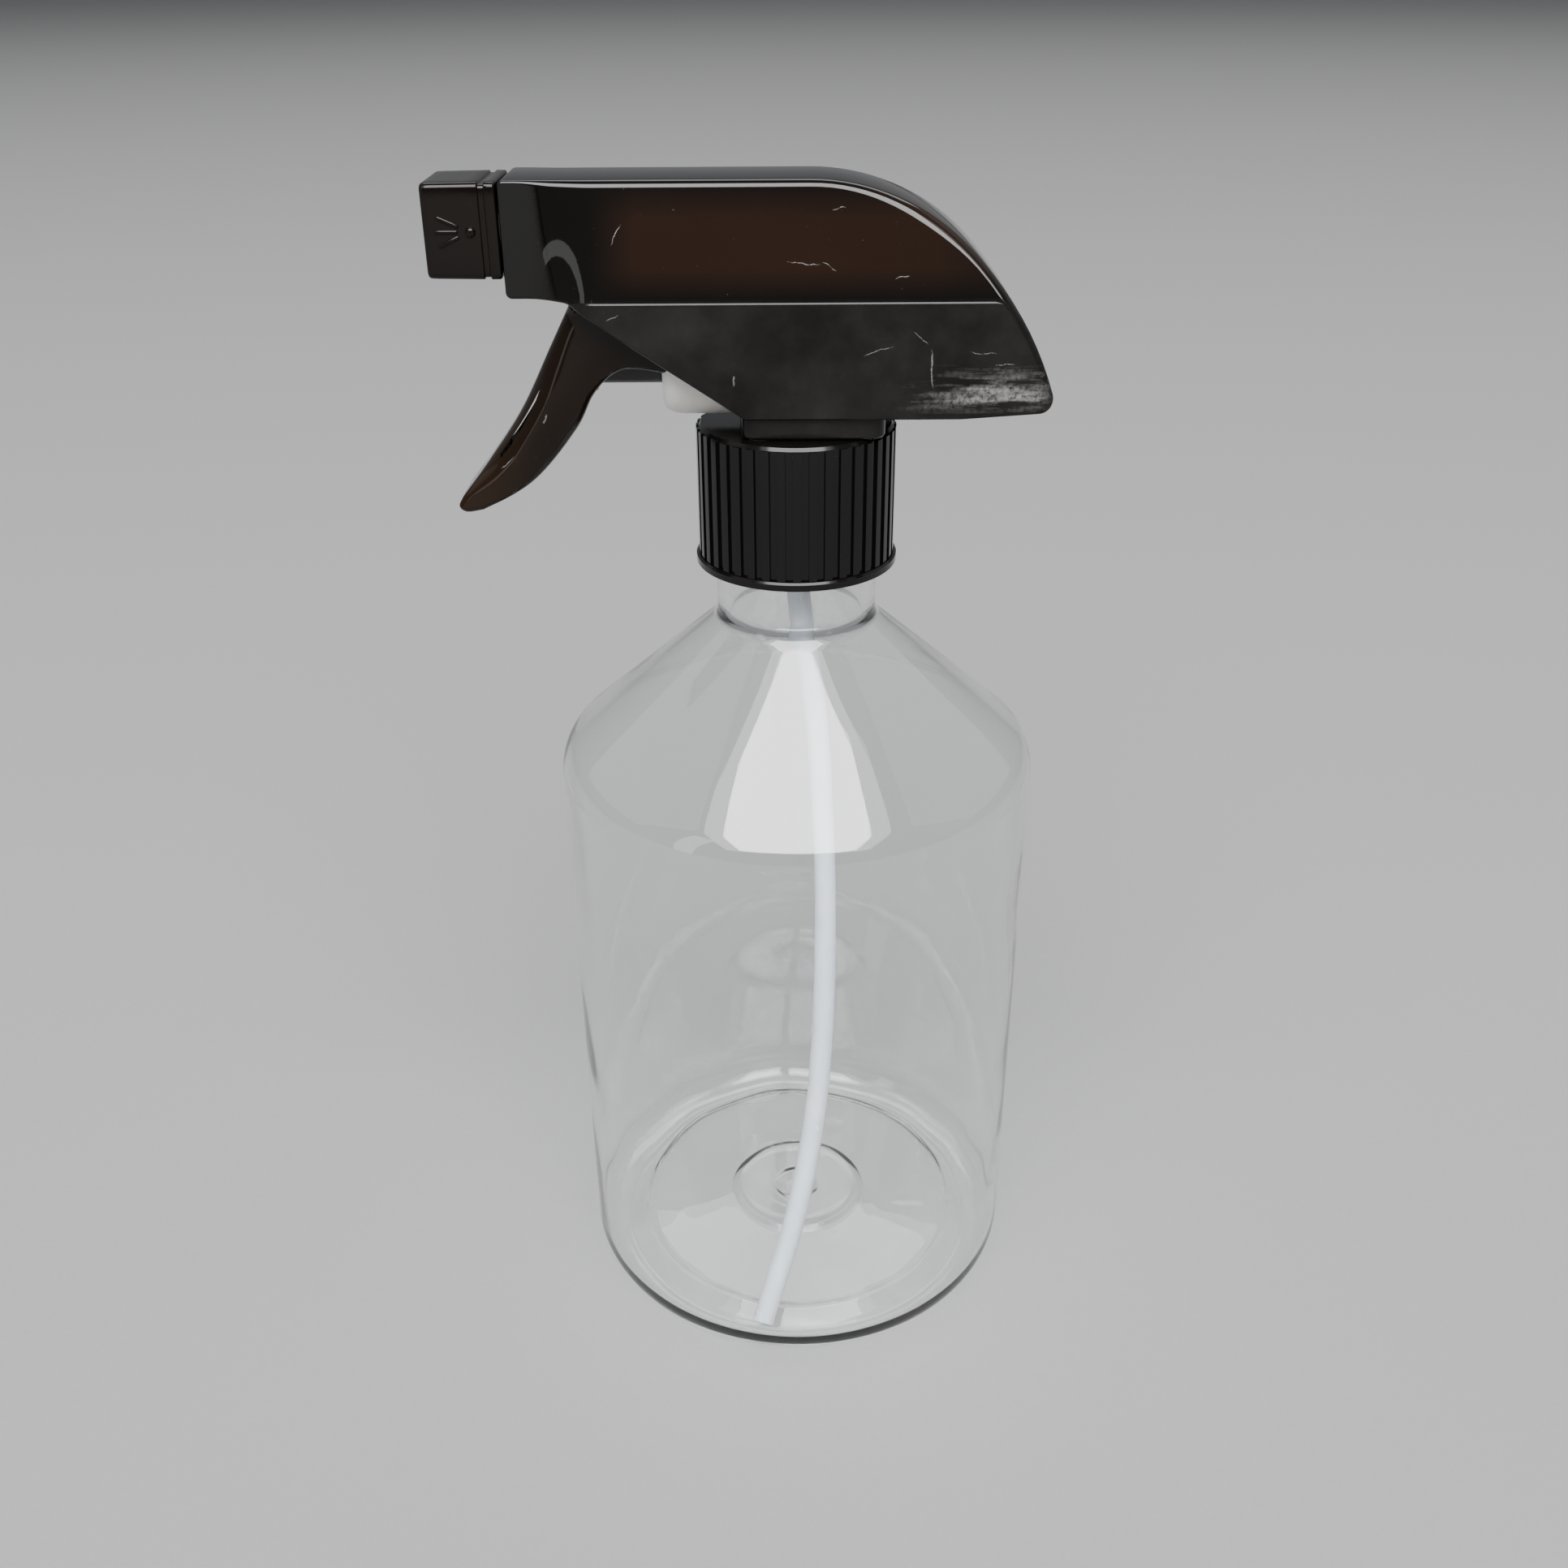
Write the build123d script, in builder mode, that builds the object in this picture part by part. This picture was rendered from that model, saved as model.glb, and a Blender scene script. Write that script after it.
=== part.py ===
from build123d import *
import math
import os

# Trigger spray bottle, millimetres. +Z is up, the origin is the middle of the bottle's
# standing ring and the nozzle points to -X.

# Running clearance between two moving pieces that fit one in the other
PLAY = 0.05

# Bottle: a blown cylinder with a round shoulder, a cone and a 28/410 screw finish.
BOTTLE_R = 39.9
BODY_TOP = 103.2
SHOULDER_R = 6.5
SHOULDER_TURN = 48.5
WALL = 0.7
HEEL_R = 5.0
RING_R = 33.4
BASE_FLOOR = 1.3
NECK_R = 12.85
NECK_BORE_R = 10.7
NECK_TOP = 155.8

# 28/410 thread: six turns to the inch.
PITCH = 25.4 / 6
THREAD_ROOT_R = 12.6
THREAD_CREST_R = 13.75
THREAD_START = 145.4
NECK_TURNS = 1.35
CAP_TURNS = 1.15

# Closure
CAP_BOTTOM = 139.4
CAP_TOP = 161.4
CAP_VALLEY_R = 15.1
CAP_RIB_R = 15.5
CAP_RIM_R = 16.0
CAP_RIM_H = 1.3
CAP_BORE_R = 14.1
CAP_ROOF = 2.0
CAP_HOLE_R = 8.3
RIBS = 40
RIB_WIDTH = 1.25
CAP_EDGE = 0.5
CAP_CREST_R = 13.0

# Stack clamped between the neck and the closure's roof
GASKET_TOP = NECK_TOP + 1.4
RETAINER_FLANGE_TOP = GASKET_TOP + 1.1
PUMP_FLANGE_TOP = RETAINER_FLANGE_TOP + 1.0
FLANGE_R = 12.2
GASKET_R = 13.6
GASKET_BORE_R = 10.0
RETAINER_TOP_R = 4.9
VENT_X = 7.4
VENT_R = 0.8
POST_R = 8.0

# Dip tube
TUBE_R = 1.9
TUBE_BORE_R = 1.25
TUBE_TOP = 152.5
SOCKET_BOTTOM = 141.0
STEM_R = 3.5

# Pump
BARREL_Z = 170.0
BARREL_FRONT = -20.0
BARREL_BACK = -4.2
BARREL_R = 7.2
BORE_R = 5.4
RIM_LENGTH = 3.0
COLUMN_R = 5.5
COLUMN_TOP = 194.4
SPOUT_Z = 190.5
SPOUT_R = 3.8
SPOUT_BORE_R = 1.9
BOSS_R = 4.6
BOSS_FRONT = -48.0
VALVE_BACK = -37.5
VALVE_LENGTH = 3.5
BALL_R = 1.9
SEAT_Z = 162.0
SEAT_R = 1.3
CAGE_R = 2.3
CAGE_TOP = 166.8
PORT_R = 1.2
INSERT_R = 2.8
INSERT_HEAD = 2.4

# Trigger and its linkage
PIVOT_X = -29.0
PIVOT_Z = 184.5
PIN_R = 1.6
CROSSBAR_X = -32.5
CROSSBAR_R = 1.5
WING_IN = 7.35
WING_OUT = 8.35
FORK_HALF = 2.9
SLOT_WIDTH = 2 * CROSSBAR_R + 0.16
PIN_BOSS_R = 2.2
HEAD_FRONT = -18.2
HEAD_BACK = -13.2
POCKET_FRONT = -15.9
POCKET_R = 4.6
GROOVE_X = -17.6
GROOVE_WIDTH = 1.0
GROOVE_R = 4.3
SPRING_WIRE_R = 0.35
SPRING_R = 3.95
SPRING_TURNS = 5

# Shroud
SHROUD_TOP = 197.4
SHROUD_FRONT = -42.0
SHROUD_WALL = 1.3
TOP_HALF = 6.9
CREASE_HALF = 12.0
CREASE_Z = 181.7
LEDGE_Z = 181.4
SIDE_HALF = 12.3
SIDE_BOTTOM = 164.7
REAR_X = 2.0
REAR_R1 = 33.0
REAR_R2 = 50.0
HEEL_X = 35.4
HEEL_Z = 165.4
SPOUT_BOTTOM = 181.2
COLLAR_X = 2.4
COLLAR_WALL = 1.3

# Nozzle
NOZZLE_FRONT = -53.0
NOZZLE_BACK = -42.3
NOZZLE_HALF = 6.7
NOZZLE_CORNER = 0.7
KNOB_GROOVE_X = -44.8
KNOB_GROOVE_WIDTH = 0.9
ORIFICE_R = 0.4
FAN_X = -46.5
FAN_REACH = 3.4

AXIS_X = Plane((0, 0, BARREL_Z), x_dir=(1, 0, 0), z_dir=(0, -1, 0))
SPOUT_SIDE = Plane((0, 0, SPOUT_Z), x_dir=(1, 0, 0), z_dir=(0, -1, 0))


def bottle_outline(wall, neck_r, floor, foot_r):
    """Half section of the bottle, moved inward by the wall, up to the top of the neck."""
    lean = math.radians(SHOULDER_TURN)
    body_r = BOTTLE_R - wall
    corner_z = BODY_TOP + (SHOULDER_R - wall) * math.tan(lean / 2)
    cone_z = corner_z + (body_r - neck_r) / math.tan(lean)
    pts = [
        (0, floor + 3.4),
        (2.2, floor + 3.4),
        (4.4, floor + 4.8),
        (11.4, floor + 4.8),
        (13.0, floor + 3.8),
        (foot_r - 3.4, floor + 2.0),
        (foot_r, floor),
        (body_r, floor),
        (body_r, corner_z),
        (neck_r, cone_z),
        (neck_r, NECK_TOP),
    ]
    radii = [0.8, 0.8, 0.8, 0.8, 2.0, 1.2, HEEL_R - wall / 2, SHOULDER_R - wall, 2.4]
    return pts, radii


def bottle_solid(wall, neck_r, floor, foot_r):
    """Solid of revolution inside one outline of the bottle."""
    pts, radii = bottle_outline(wall, neck_r, floor, foot_r)
    with BuildPart() as solid:
        with BuildSketch(Plane.XZ):
            with BuildLine():
                FilletPolyline(*pts, radius=radii)
                Polyline(pts[-1], (0, NECK_TOP), pts[0])
            make_face()
        revolve(axis=Axis.Z)
    return solid.part


def thread(root_r, crest_r, root_width, crest_width, start, turns):
    """One helical ridge of trapezoid section; it is sunk a little into the wall it grows from."""
    sink = 0.3 if crest_r > root_r else -0.3
    path = Helix(PITCH, PITCH * turns, root_r, center=(0, 0, start))
    section = Plane(path @ 0, x_dir=(1, 0, 0), z_dir=path % 0)
    with BuildPart() as ridge:
        with BuildSketch(section):
            with BuildLine():
                Polyline(
                    (-sink, -root_width / 2),
                    (0, -root_width / 2),
                    (crest_r - root_r, -crest_width / 2),
                    (crest_r - root_r, crest_width / 2),
                    (0, root_width / 2),
                    (-sink, root_width / 2),
                    close=True,
                )
            make_face()
        sweep(path=path, is_frenet=True)
    return ridge.part


def bar(start, end, half_y, half_z, z):
    """Box along X between two X values."""
    with BuildPart() as made:
        with Locations(((start + end) / 2, 0, z)):
            Box(abs(end - start), 2 * half_y, 2 * half_z)
    return made.part


def rod(start, end, radius, z):
    """Cylinder along X between two X values."""
    with BuildPart() as made:
        with BuildSketch(Plane((start, 0, z), z_dir=(1, 0, 0))):
            Circle(radius)
        extrude(amount=end - start)
    return made.part


def shroud_solid(inset, bottom_open):
    """Outer or inner skin of the shroud: side view, end view and plan view crossed."""
    top = SHROUD_TOP - inset
    front = SHROUD_FRONT + inset
    centre = SHROUD_TOP - REAR_R1
    turn1 = math.radians(45)
    turn2 = math.radians(71.5)
    r1 = REAR_R1 - inset
    r2 = REAR_R2 - inset
    c2x = REAR_X + (REAR_R1 - REAR_R2) * math.sin(turn1)
    c2z = centre + (REAR_R1 - REAR_R2) * math.cos(turn1)

    def on_first(turn):
        return (REAR_X + r1 * math.sin(turn), centre + r1 * math.cos(turn))

    def on_second(turn):
        return (c2x + r2 * math.sin(turn), c2z + r2 * math.cos(turn))

    with BuildPart() as skin:
        with BuildSketch(Plane.XZ):
            with BuildLine():
                Line((front, top), (REAR_X, top))
                ThreePointArc((REAR_X, top), on_first(turn1 / 2), on_first(turn1))
                ThreePointArc(on_first(turn1), on_second((turn1 + turn2) / 2), on_second(turn2))
                if bottom_open:
                    Polyline(
                        on_second(turn2),
                        (on_second(turn2)[0], SIDE_BOTTOM - 12),
                        (front, SIDE_BOTTOM - 12),
                        (front, top),
                    )
                else:
                    TangentArc(
                        on_second(turn2),
                        (HEEL_X, HEEL_Z),
                        tangent=(math.cos(turn2), -math.sin(turn2)),
                    )
                    Polyline(
                        (HEEL_X, HEEL_Z),
                        (24.0, SIDE_BOTTOM),
                        (-7.5, SIDE_BOTTOM),
                        (-32.8, SPOUT_BOTTOM),
                        (front, SPOUT_BOTTOM),
                        (front, top),
                    )
            make_face()
        extrude(amount=20, both=True)
        with BuildSketch(Plane.YZ):
            with BuildLine():
                half = [
                    (TOP_HALF - inset, top),
                    (CREASE_HALF - inset, CREASE_Z),
                    (SIDE_HALF - inset, LEDGE_Z),
                    (SIDE_HALF - inset, 140),
                ]
                Polyline(*half, *[(-y, z) for y, z in reversed(half)], close=True)
            make_face()
        extrude(amount=60, both=True, mode=Mode.INTERSECT)
        with BuildSketch(Plane.XY.offset(140)):
            with BuildLine() as plan:
                Line((-50, 0), (-50, TOP_HALF - inset))
                Line((-50, TOP_HALF - inset), (-39, TOP_HALF - inset))
                ThreePointArc(
                    (-39, TOP_HALF - inset),
                    (-34, TOP_HALF + 1.7 - inset),
                    (-29, SIDE_HALF + 0.1 - inset),
                )
                Polyline((-29, SIDE_HALF + 0.1 - inset), (60, SIDE_HALF + 0.1 - inset), (60, 0), (-50, 0))
            make_face()
            mirror(about=Plane.XZ)
        extrude(amount=70, mode=Mode.INTERSECT)
    return skin.part


os.makedirs("parts", exist_ok=True)

# Bottle
with BuildPart() as bottle:
    add(bottle_solid(0.0, NECK_R, 0.0, RING_R))
    with BuildSketch(Plane.XY.offset(NECK_TOP)):
        Circle(NECK_R + 1)
        Circle(THREAD_ROOT_R, mode=Mode.SUBTRACT)
    extrude(amount=-(NECK_TOP - CAP_BOTTOM - 1.6), mode=Mode.SUBTRACT)
    add(bottle_solid(WALL, NECK_BORE_R, BASE_FLOOR, RING_R + 0.4), mode=Mode.SUBTRACT)
    add(thread(THREAD_ROOT_R, THREAD_CREST_R, 2.3, 1.1, THREAD_START, NECK_TURNS))
bottle.part.label = "bottle"
export_step(bottle.part, "parts/bottle.step")

# Closure: ribbed ring with an inner thread half a pitch under the neck's
with BuildPart() as closure:
    with BuildSketch(Plane.XY.offset(CAP_BOTTOM)):
        Circle(CAP_RIM_R)
    extrude(amount=CAP_RIM_H)
    chamfer(closure.faces().sort_by(Axis.Z)[-1].edges(), 0.3)
    with BuildSketch(Plane.XY.offset(CAP_BOTTOM + CAP_RIM_H)):
        Circle(CAP_VALLEY_R)
        with PolarLocations(CAP_VALLEY_R - 0.5, RIBS):
            Rectangle(2 * (CAP_RIB_R - CAP_VALLEY_R + 0.5), RIB_WIDTH)
        Circle(CAP_RIB_R, mode=Mode.INTERSECT)
    extrude(amount=CAP_TOP - CAP_BOTTOM - CAP_RIM_H - CAP_EDGE)
    with BuildSketch(Plane.XY.offset(CAP_TOP - CAP_EDGE)):
        Circle(CAP_VALLEY_R)
    extrude(amount=CAP_EDGE, taper=35)
    with BuildSketch(Plane.XY.offset(CAP_BOTTOM)):
        Circle(CAP_BORE_R)
    extrude(amount=CAP_TOP - CAP_ROOF - CAP_BOTTOM, mode=Mode.SUBTRACT)
    with BuildSketch(Plane.XY.offset(CAP_TOP)):
        Circle(CAP_HOLE_R)
    extrude(amount=-2 * CAP_ROOF, mode=Mode.SUBTRACT)
    add(thread(CAP_BORE_R, CAP_CREST_R, 1.5, 0.8, THREAD_START - PITCH / 2, CAP_TURNS))
closure.part.label = "closure"
export_step(closure.part, "parts/closure.step")

# Gasket: flat ring on the neck's land
with BuildPart() as gasket:
    with BuildSketch(Plane.XY.offset(NECK_TOP)):
        Circle(GASKET_R)
        Circle(GASKET_BORE_R, mode=Mode.SUBTRACT)
    extrude(amount=GASKET_TOP - NECK_TOP)
gasket.part.label = "gasket"
export_step(gasket.part, "parts/gasket.step")

# Tube retainer: flange, stem with the tube's socket, and the inlet ball's seat on top
with BuildPart() as tube_retainer:
    with BuildSketch(Plane.XZ):
        with BuildLine():
            Polyline(
                (TUBE_R + 0.02, SOCKET_BOTTOM),
                (STEM_R, SOCKET_BOTTOM),
                (STEM_R, GASKET_TOP),
                (FLANGE_R, GASKET_TOP),
                (FLANGE_R, RETAINER_FLANGE_TOP),
                (RETAINER_TOP_R, RETAINER_FLANGE_TOP),
                (RETAINER_TOP_R, SEAT_Z),
                (SEAT_R, SEAT_Z),
                (SEAT_R, TUBE_TOP),
                (TUBE_R + 0.02, TUBE_TOP),
                close=True,
            )
        make_face()
    revolve(axis=Axis.Z)
    with BuildSketch(Plane.XY.offset(RETAINER_FLANGE_TOP)):
        with Locations((VENT_X, 0)):
            Circle(VENT_R)
    extrude(amount=-3, mode=Mode.SUBTRACT)
tube_retainer.part.label = "tube_retainer"
export_step(tube_retainer.part, "parts/tube_retainer.step")

# Inlet ball, resting on its seat
with BuildPart() as inlet_ball:
    with Locations((0, 0, SEAT_Z + math.sqrt(BALL_R**2 - SEAT_R**2) + 0.01)):
        Sphere(BALL_R)
inlet_ball.part.label = "inlet_ball"
export_step(inlet_ball.part, "parts/inlet_ball.step")

# Pump body: flange, post, column, barrel and spout in one moulding
with BuildPart() as pump_body:
    with BuildSketch(Plane.XY.offset(RETAINER_FLANGE_TOP)):
        Circle(FLANGE_R)
    extrude(amount=PUMP_FLANGE_TOP - RETAINER_FLANGE_TOP)
    with BuildSketch(Plane.XY.offset(RETAINER_FLANGE_TOP)):
        Circle(POST_R)
    extrude(amount=BARREL_Z - BARREL_R + 2 - RETAINER_FLANGE_TOP)
    with BuildSketch(Plane.XY.offset(SEAT_Z)):
        Circle(COLUMN_R)
    extrude(amount=COLUMN_TOP - SEAT_Z)
    with BuildSketch(AXIS_X):
        with BuildLine():
            Polyline(
                (BARREL_FRONT + RIM_LENGTH, BARREL_R),
                (0, BARREL_R),
                (0, 0),
                (BARREL_FRONT, 0),
                (BARREL_FRONT, BORE_R + 0.2),
            )
            EllipticalCenterArc(
                (BARREL_FRONT + RIM_LENGTH, BORE_R + 0.2),
                RIM_LENGTH,
                BARREL_R - BORE_R - 0.2,
                start_angle=90,
                arc_size=90,
            )
        make_face()
    revolve(axis=Axis((0, 0, BARREL_Z), (1, 0, 0)))
    add(rod(BOSS_FRONT + 5.2, 0, SPOUT_R, SPOUT_Z))
    add(rod(BOSS_FRONT, BOSS_FRONT + 5.4, BOSS_R, SPOUT_Z))
    add(bar(-31.5, -26, WING_IN - 0.15, 1.7, 189.3))
    with Locations(((-31.5 - 26) / 2, 6.2, 185.6), ((-31.5 - 26) / 2, -6.2, 185.6)):
        Box(5.5, 2, 7.4)
    add(bar(-17, -4, 0.8, 5.5, 182.0))
    with BuildSketch(Plane.XZ.offset(WING_IN)):
        with Locations((PIVOT_X, PIVOT_Z)):
            Circle(PIN_R + PLAY)
    extrude(amount=-2 * WING_IN, mode=Mode.SUBTRACT)
    add(rod(BARREL_FRONT - 1, BARREL_BACK, BORE_R, BARREL_Z), mode=Mode.SUBTRACT)
    add(rod(BARREL_BACK - 1, 0, PORT_R, BARREL_Z), mode=Mode.SUBTRACT)
    add(rod(BOSS_FRONT - 1, VALVE_BACK, SPOUT_BORE_R, SPOUT_Z), mode=Mode.SUBTRACT)
    add(rod(VALVE_BACK - 1, 0, PORT_R, SPOUT_Z), mode=Mode.SUBTRACT)
    with BuildSketch(Plane.XY.offset(RETAINER_FLANGE_TOP)):
        Circle(RETAINER_TOP_R + PLAY)
    extrude(amount=SEAT_Z - RETAINER_FLANGE_TOP, mode=Mode.SUBTRACT)
    with BuildSketch(Plane.XY.offset(SEAT_Z)):
        Circle(CAGE_R)
    extrude(amount=CAGE_TOP - SEAT_Z, mode=Mode.SUBTRACT)
    with BuildSketch(Plane.XY.offset(CAGE_TOP)):
        Circle(PORT_R)
    extrude(amount=SPOUT_Z - CAGE_TOP, mode=Mode.SUBTRACT)
pump_body.part.label = "pump_body"
export_step(pump_body.part, "parts/pump_body.step")

# Outlet valve: soft plug in the spout's bore behind the swirl insert
with BuildPart() as outlet_valve:
    add(rod(VALVE_BACK - VALVE_LENGTH, VALVE_BACK, SPOUT_BORE_R - 0.1, SPOUT_Z))
outlet_valve.part.label = "outlet_valve"
export_step(outlet_valve.part, "parts/outlet_valve.step")

# Swirl insert: stem in the spout, grooved head in the nozzle
with BuildPart() as swirl_insert:
    add(rod(BOSS_FRONT - 0.1, -42.2, SPOUT_BORE_R - 0.02, SPOUT_Z))
    add(rod(BOSS_FRONT - INSERT_HEAD, BOSS_FRONT, INSERT_R, SPOUT_Z))
    with BuildSketch(Plane((BOSS_FRONT - INSERT_HEAD, 0, SPOUT_Z), z_dir=(1, 0, 0))):
        with PolarLocations(2.0, 3):
            Rectangle(2.4, 0.6)
        Circle(1.0)
    extrude(amount=0.6, mode=Mode.SUBTRACT)
swirl_insert.part.label = "swirl_insert"
export_step(swirl_insert.part, "parts/swirl_insert.step")

# Nozzle: square knob with a raised fan of strokes on two sides
with BuildPart() as nozzle:
    with BuildSketch(Plane((NOZZLE_BACK, 0, SPOUT_Z), z_dir=(-1, 0, 0))):
        RectangleRounded(2 * NOZZLE_HALF, 2 * NOZZLE_HALF, NOZZLE_CORNER)
    extrude(amount=NOZZLE_BACK - NOZZLE_FRONT, taper=1.0)
    chamfer(nozzle.faces().sort_by(Axis.X)[0].edges(), 0.35)
    with BuildSketch(Plane((KNOB_GROOVE_X, 0, SPOUT_Z), z_dir=(1, 0, 0))):
        Rectangle(4 * NOZZLE_HALF, 4 * NOZZLE_HALF)
        RectangleRounded(2 * NOZZLE_HALF - 0.6, 2 * NOZZLE_HALF - 0.6, NOZZLE_CORNER, mode=Mode.SUBTRACT)
    extrude(amount=KNOB_GROOVE_WIDTH, mode=Mode.SUBTRACT)
    for side in (-1, 1):
        with BuildSketch(Plane.XZ.offset(side * (NOZZLE_HALF - 0.3))):
            for turn in (-24, 0, 24):
                dx = -FAN_REACH * math.cos(math.radians(turn))
                dz = FAN_REACH * math.sin(math.radians(turn))
                with Locations(Location((FAN_X + dx, SPOUT_Z + dz), -turn)):
                    SlotOverall(3.2, 0.7)
            with Locations((FAN_X, SPOUT_Z)):
                Circle(0.8)
        extrude(amount=side * 0.45)
    add(rod(BOSS_FRONT - 0.2, NOZZLE_BACK + 1, BOSS_R + PLAY, SPOUT_Z), mode=Mode.SUBTRACT)
    add(rod(BOSS_FRONT - INSERT_HEAD - 0.2, BOSS_FRONT, INSERT_R + 0.1, SPOUT_Z), mode=Mode.SUBTRACT)
    add(rod(NOZZLE_FRONT - 1, BOSS_FRONT, ORIFICE_R, SPOUT_Z), mode=Mode.SUBTRACT)
    with BuildSketch(Plane((NOZZLE_FRONT, 0, SPOUT_Z), z_dir=(1, 0, 0))):
        Circle(3.0)
    extrude(amount=1.2, taper=30, mode=Mode.SUBTRACT)
nozzle.part.label = "nozzle"
export_step(nozzle.part, "parts/nozzle.step")

# Piston: fork for the trigger's crossbar, rod and hollow head
with BuildPart() as piston:
    add(rod(HEAD_FRONT, HEAD_BACK, BORE_R - PLAY, BARREL_Z))
    add(rod(CROSSBAR_X + 2, HEAD_FRONT, 2.6, BARREL_Z))
    add(bar(CROSSBAR_X - 2.2, CROSSBAR_X + 2.6, FORK_HALF, FORK_HALF, BARREL_Z - 0.1))
    add(rod(POCKET_FRONT, HEAD_BACK + 1, POCKET_R, BARREL_Z), mode=Mode.SUBTRACT)
    with BuildSketch(Plane.XZ.offset(5)):
        with Locations((CROSSBAR_X, BARREL_Z)):
            SlotOverall(SLOT_WIDTH + 0.9, SLOT_WIDTH, rotation=90)
        with Locations((CROSSBAR_X, BARREL_Z - 3)):
            Rectangle(SLOT_WIDTH, 6)
    extrude(amount=-10, mode=Mode.SUBTRACT)
    with BuildSketch(Plane((GROOVE_X, 0, BARREL_Z), z_dir=(1, 0, 0))):
        Circle(BORE_R + 1)
        Circle(GROOVE_R, mode=Mode.SUBTRACT)
    extrude(amount=GROOVE_WIDTH, mode=Mode.SUBTRACT)
piston.part.label = "piston"
export_step(piston.part, "parts/piston.step")

# Piston seal in the head's groove
with BuildPart() as piston_seal:
    with BuildSketch(Plane((GROOVE_X, 0, BARREL_Z), z_dir=(1, 0, 0))):
        Circle(BORE_R - 0.02)
        Circle(GROOVE_R, mode=Mode.SUBTRACT)
    extrude(amount=GROOVE_WIDTH)
piston_seal.part.label = "piston_seal"
export_step(piston_seal.part, "parts/piston_seal.step")

# Return spring between the piston's pocket and the barrel's end wall
spring_start = POCKET_FRONT + SPRING_WIRE_R
spring_length = BARREL_BACK - POCKET_FRONT - 2 * SPRING_WIRE_R
coil = Helix(
    spring_length / SPRING_TURNS,
    spring_length,
    SPRING_R,
    center=(spring_start, 0, BARREL_Z),
    direction=(1, 0, 0),
)
with BuildPart() as return_spring:
    with BuildSketch(Plane(coil @ 0, z_dir=coil % 0)):
        Circle(SPRING_WIRE_R)
    sweep(path=coil, is_frenet=True)
return_spring.part.label = "return_spring"
export_step(return_spring.part, "parts/return_spring.step")

# Dip tube: straight in its socket, then bowed to the front of the heel and cut at a slant
tube_route = [
    (0, 0, TUBE_TOP),
    (0, 0, 134),
    (3.6, -1.8, 110.0),
    (5.4, -9.0, 77.0),
    (4.4, -17.5, 49.0),
    (0.2, -26.5, 24.0),
    (-7.2, -35.9, 2.6),
]
points = [Vector(*p) for p in tube_route]
runs = [b - a for a, b in zip(points, points[1:])]
bends = []
for before, after in zip(runs, runs[1:]):
    turn = math.radians(before.get_angle(after))
    bends.append(0.45 * min(before.length, after.length) / math.tan(turn / 2))
with BuildPart() as dip_tube:
    with BuildLine() as route:
        FilletPolyline(*tube_route, radius=bends)
    with BuildSketch(Plane(route.line @ 0, z_dir=route.line % 0)):
        Circle(TUBE_R)
        Circle(TUBE_BORE_R, mode=Mode.SUBTRACT)
    sweep(path=route.line)
    slant = Plane((-6.7, -35.1, 4.2), z_dir=(-0.2, -0.6, -0.5))
    split(bisect_by=slant, keep=Keep.BOTTOM)
dip_tube.part.label = "dip_tube"
export_step(dip_tube.part, "parts/dip_tube.step")

# Trigger: channel with a curved finger face, two wings, pivot pins and the crossbar
with BuildPart() as trigger:
    with BuildSketch(Plane.XZ) as lever:
        with BuildLine():
            Spline((-33.0, 180.4), (-36.3, 174.2), (-41.6, 164.4), (-47.3, 156.4), (-52.0, 150.6))
            Spline((-52.0, 150.6), (-52.0, 148.9), (-48.4, 149.1))
            Spline((-48.4, 149.1), (-40.0, 154.0), (-33.2, 161.8), (-30.2, 167.2), (-27.0, 170.4))
            Spline((-27.0, 170.4), (-23.6, 171.1), (-17.0, 169.5), (-12.5, 167.6))
            Polyline(
                (-12.5, 167.6),
                (-10.0, 171.0),
                (-25.5, 183.5),
                (-31.0, 183.5),
                (-31.6, 181.0),
                (-33.0, 180.4),
            )
        make_face()
        with Locations((PIVOT_X, PIVOT_Z)):
            Circle(PIN_BOSS_R)
    extrude(amount=WING_OUT, both=True)
    with BuildSketch(Plane.XZ):
        with BuildLine():
            Spline((-31.8, 180.7), (-34.6, 174.6), (-39.9, 165.2), (-45.2, 157.8))
            Polyline(
                (-45.2, 157.8),
                (-43.2, 145.0),
                (0, 145.0),
                (0, 190.0),
                (-35.0, 190.0),
                (-35.0, 180.7),
                (-31.8, 180.7),
            )
        make_face()
    extrude(amount=WING_IN, both=True, mode=Mode.SUBTRACT)
    for side in (-1, 1):
        with BuildSketch(Plane.XZ.offset(side * (WING_IN - 1.9))):
            with Locations((PIVOT_X, PIVOT_Z)):
                Circle(PIN_R)
        extrude(amount=side * 2.2)
    with BuildSketch(Plane.XZ):
        with Locations((CROSSBAR_X, BARREL_Z)):
            Circle(CROSSBAR_R)
    extrude(amount=WING_IN + 0.2, both=True)
trigger.part.label = "trigger"
export_step(trigger.part, "parts/trigger.step")

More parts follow.
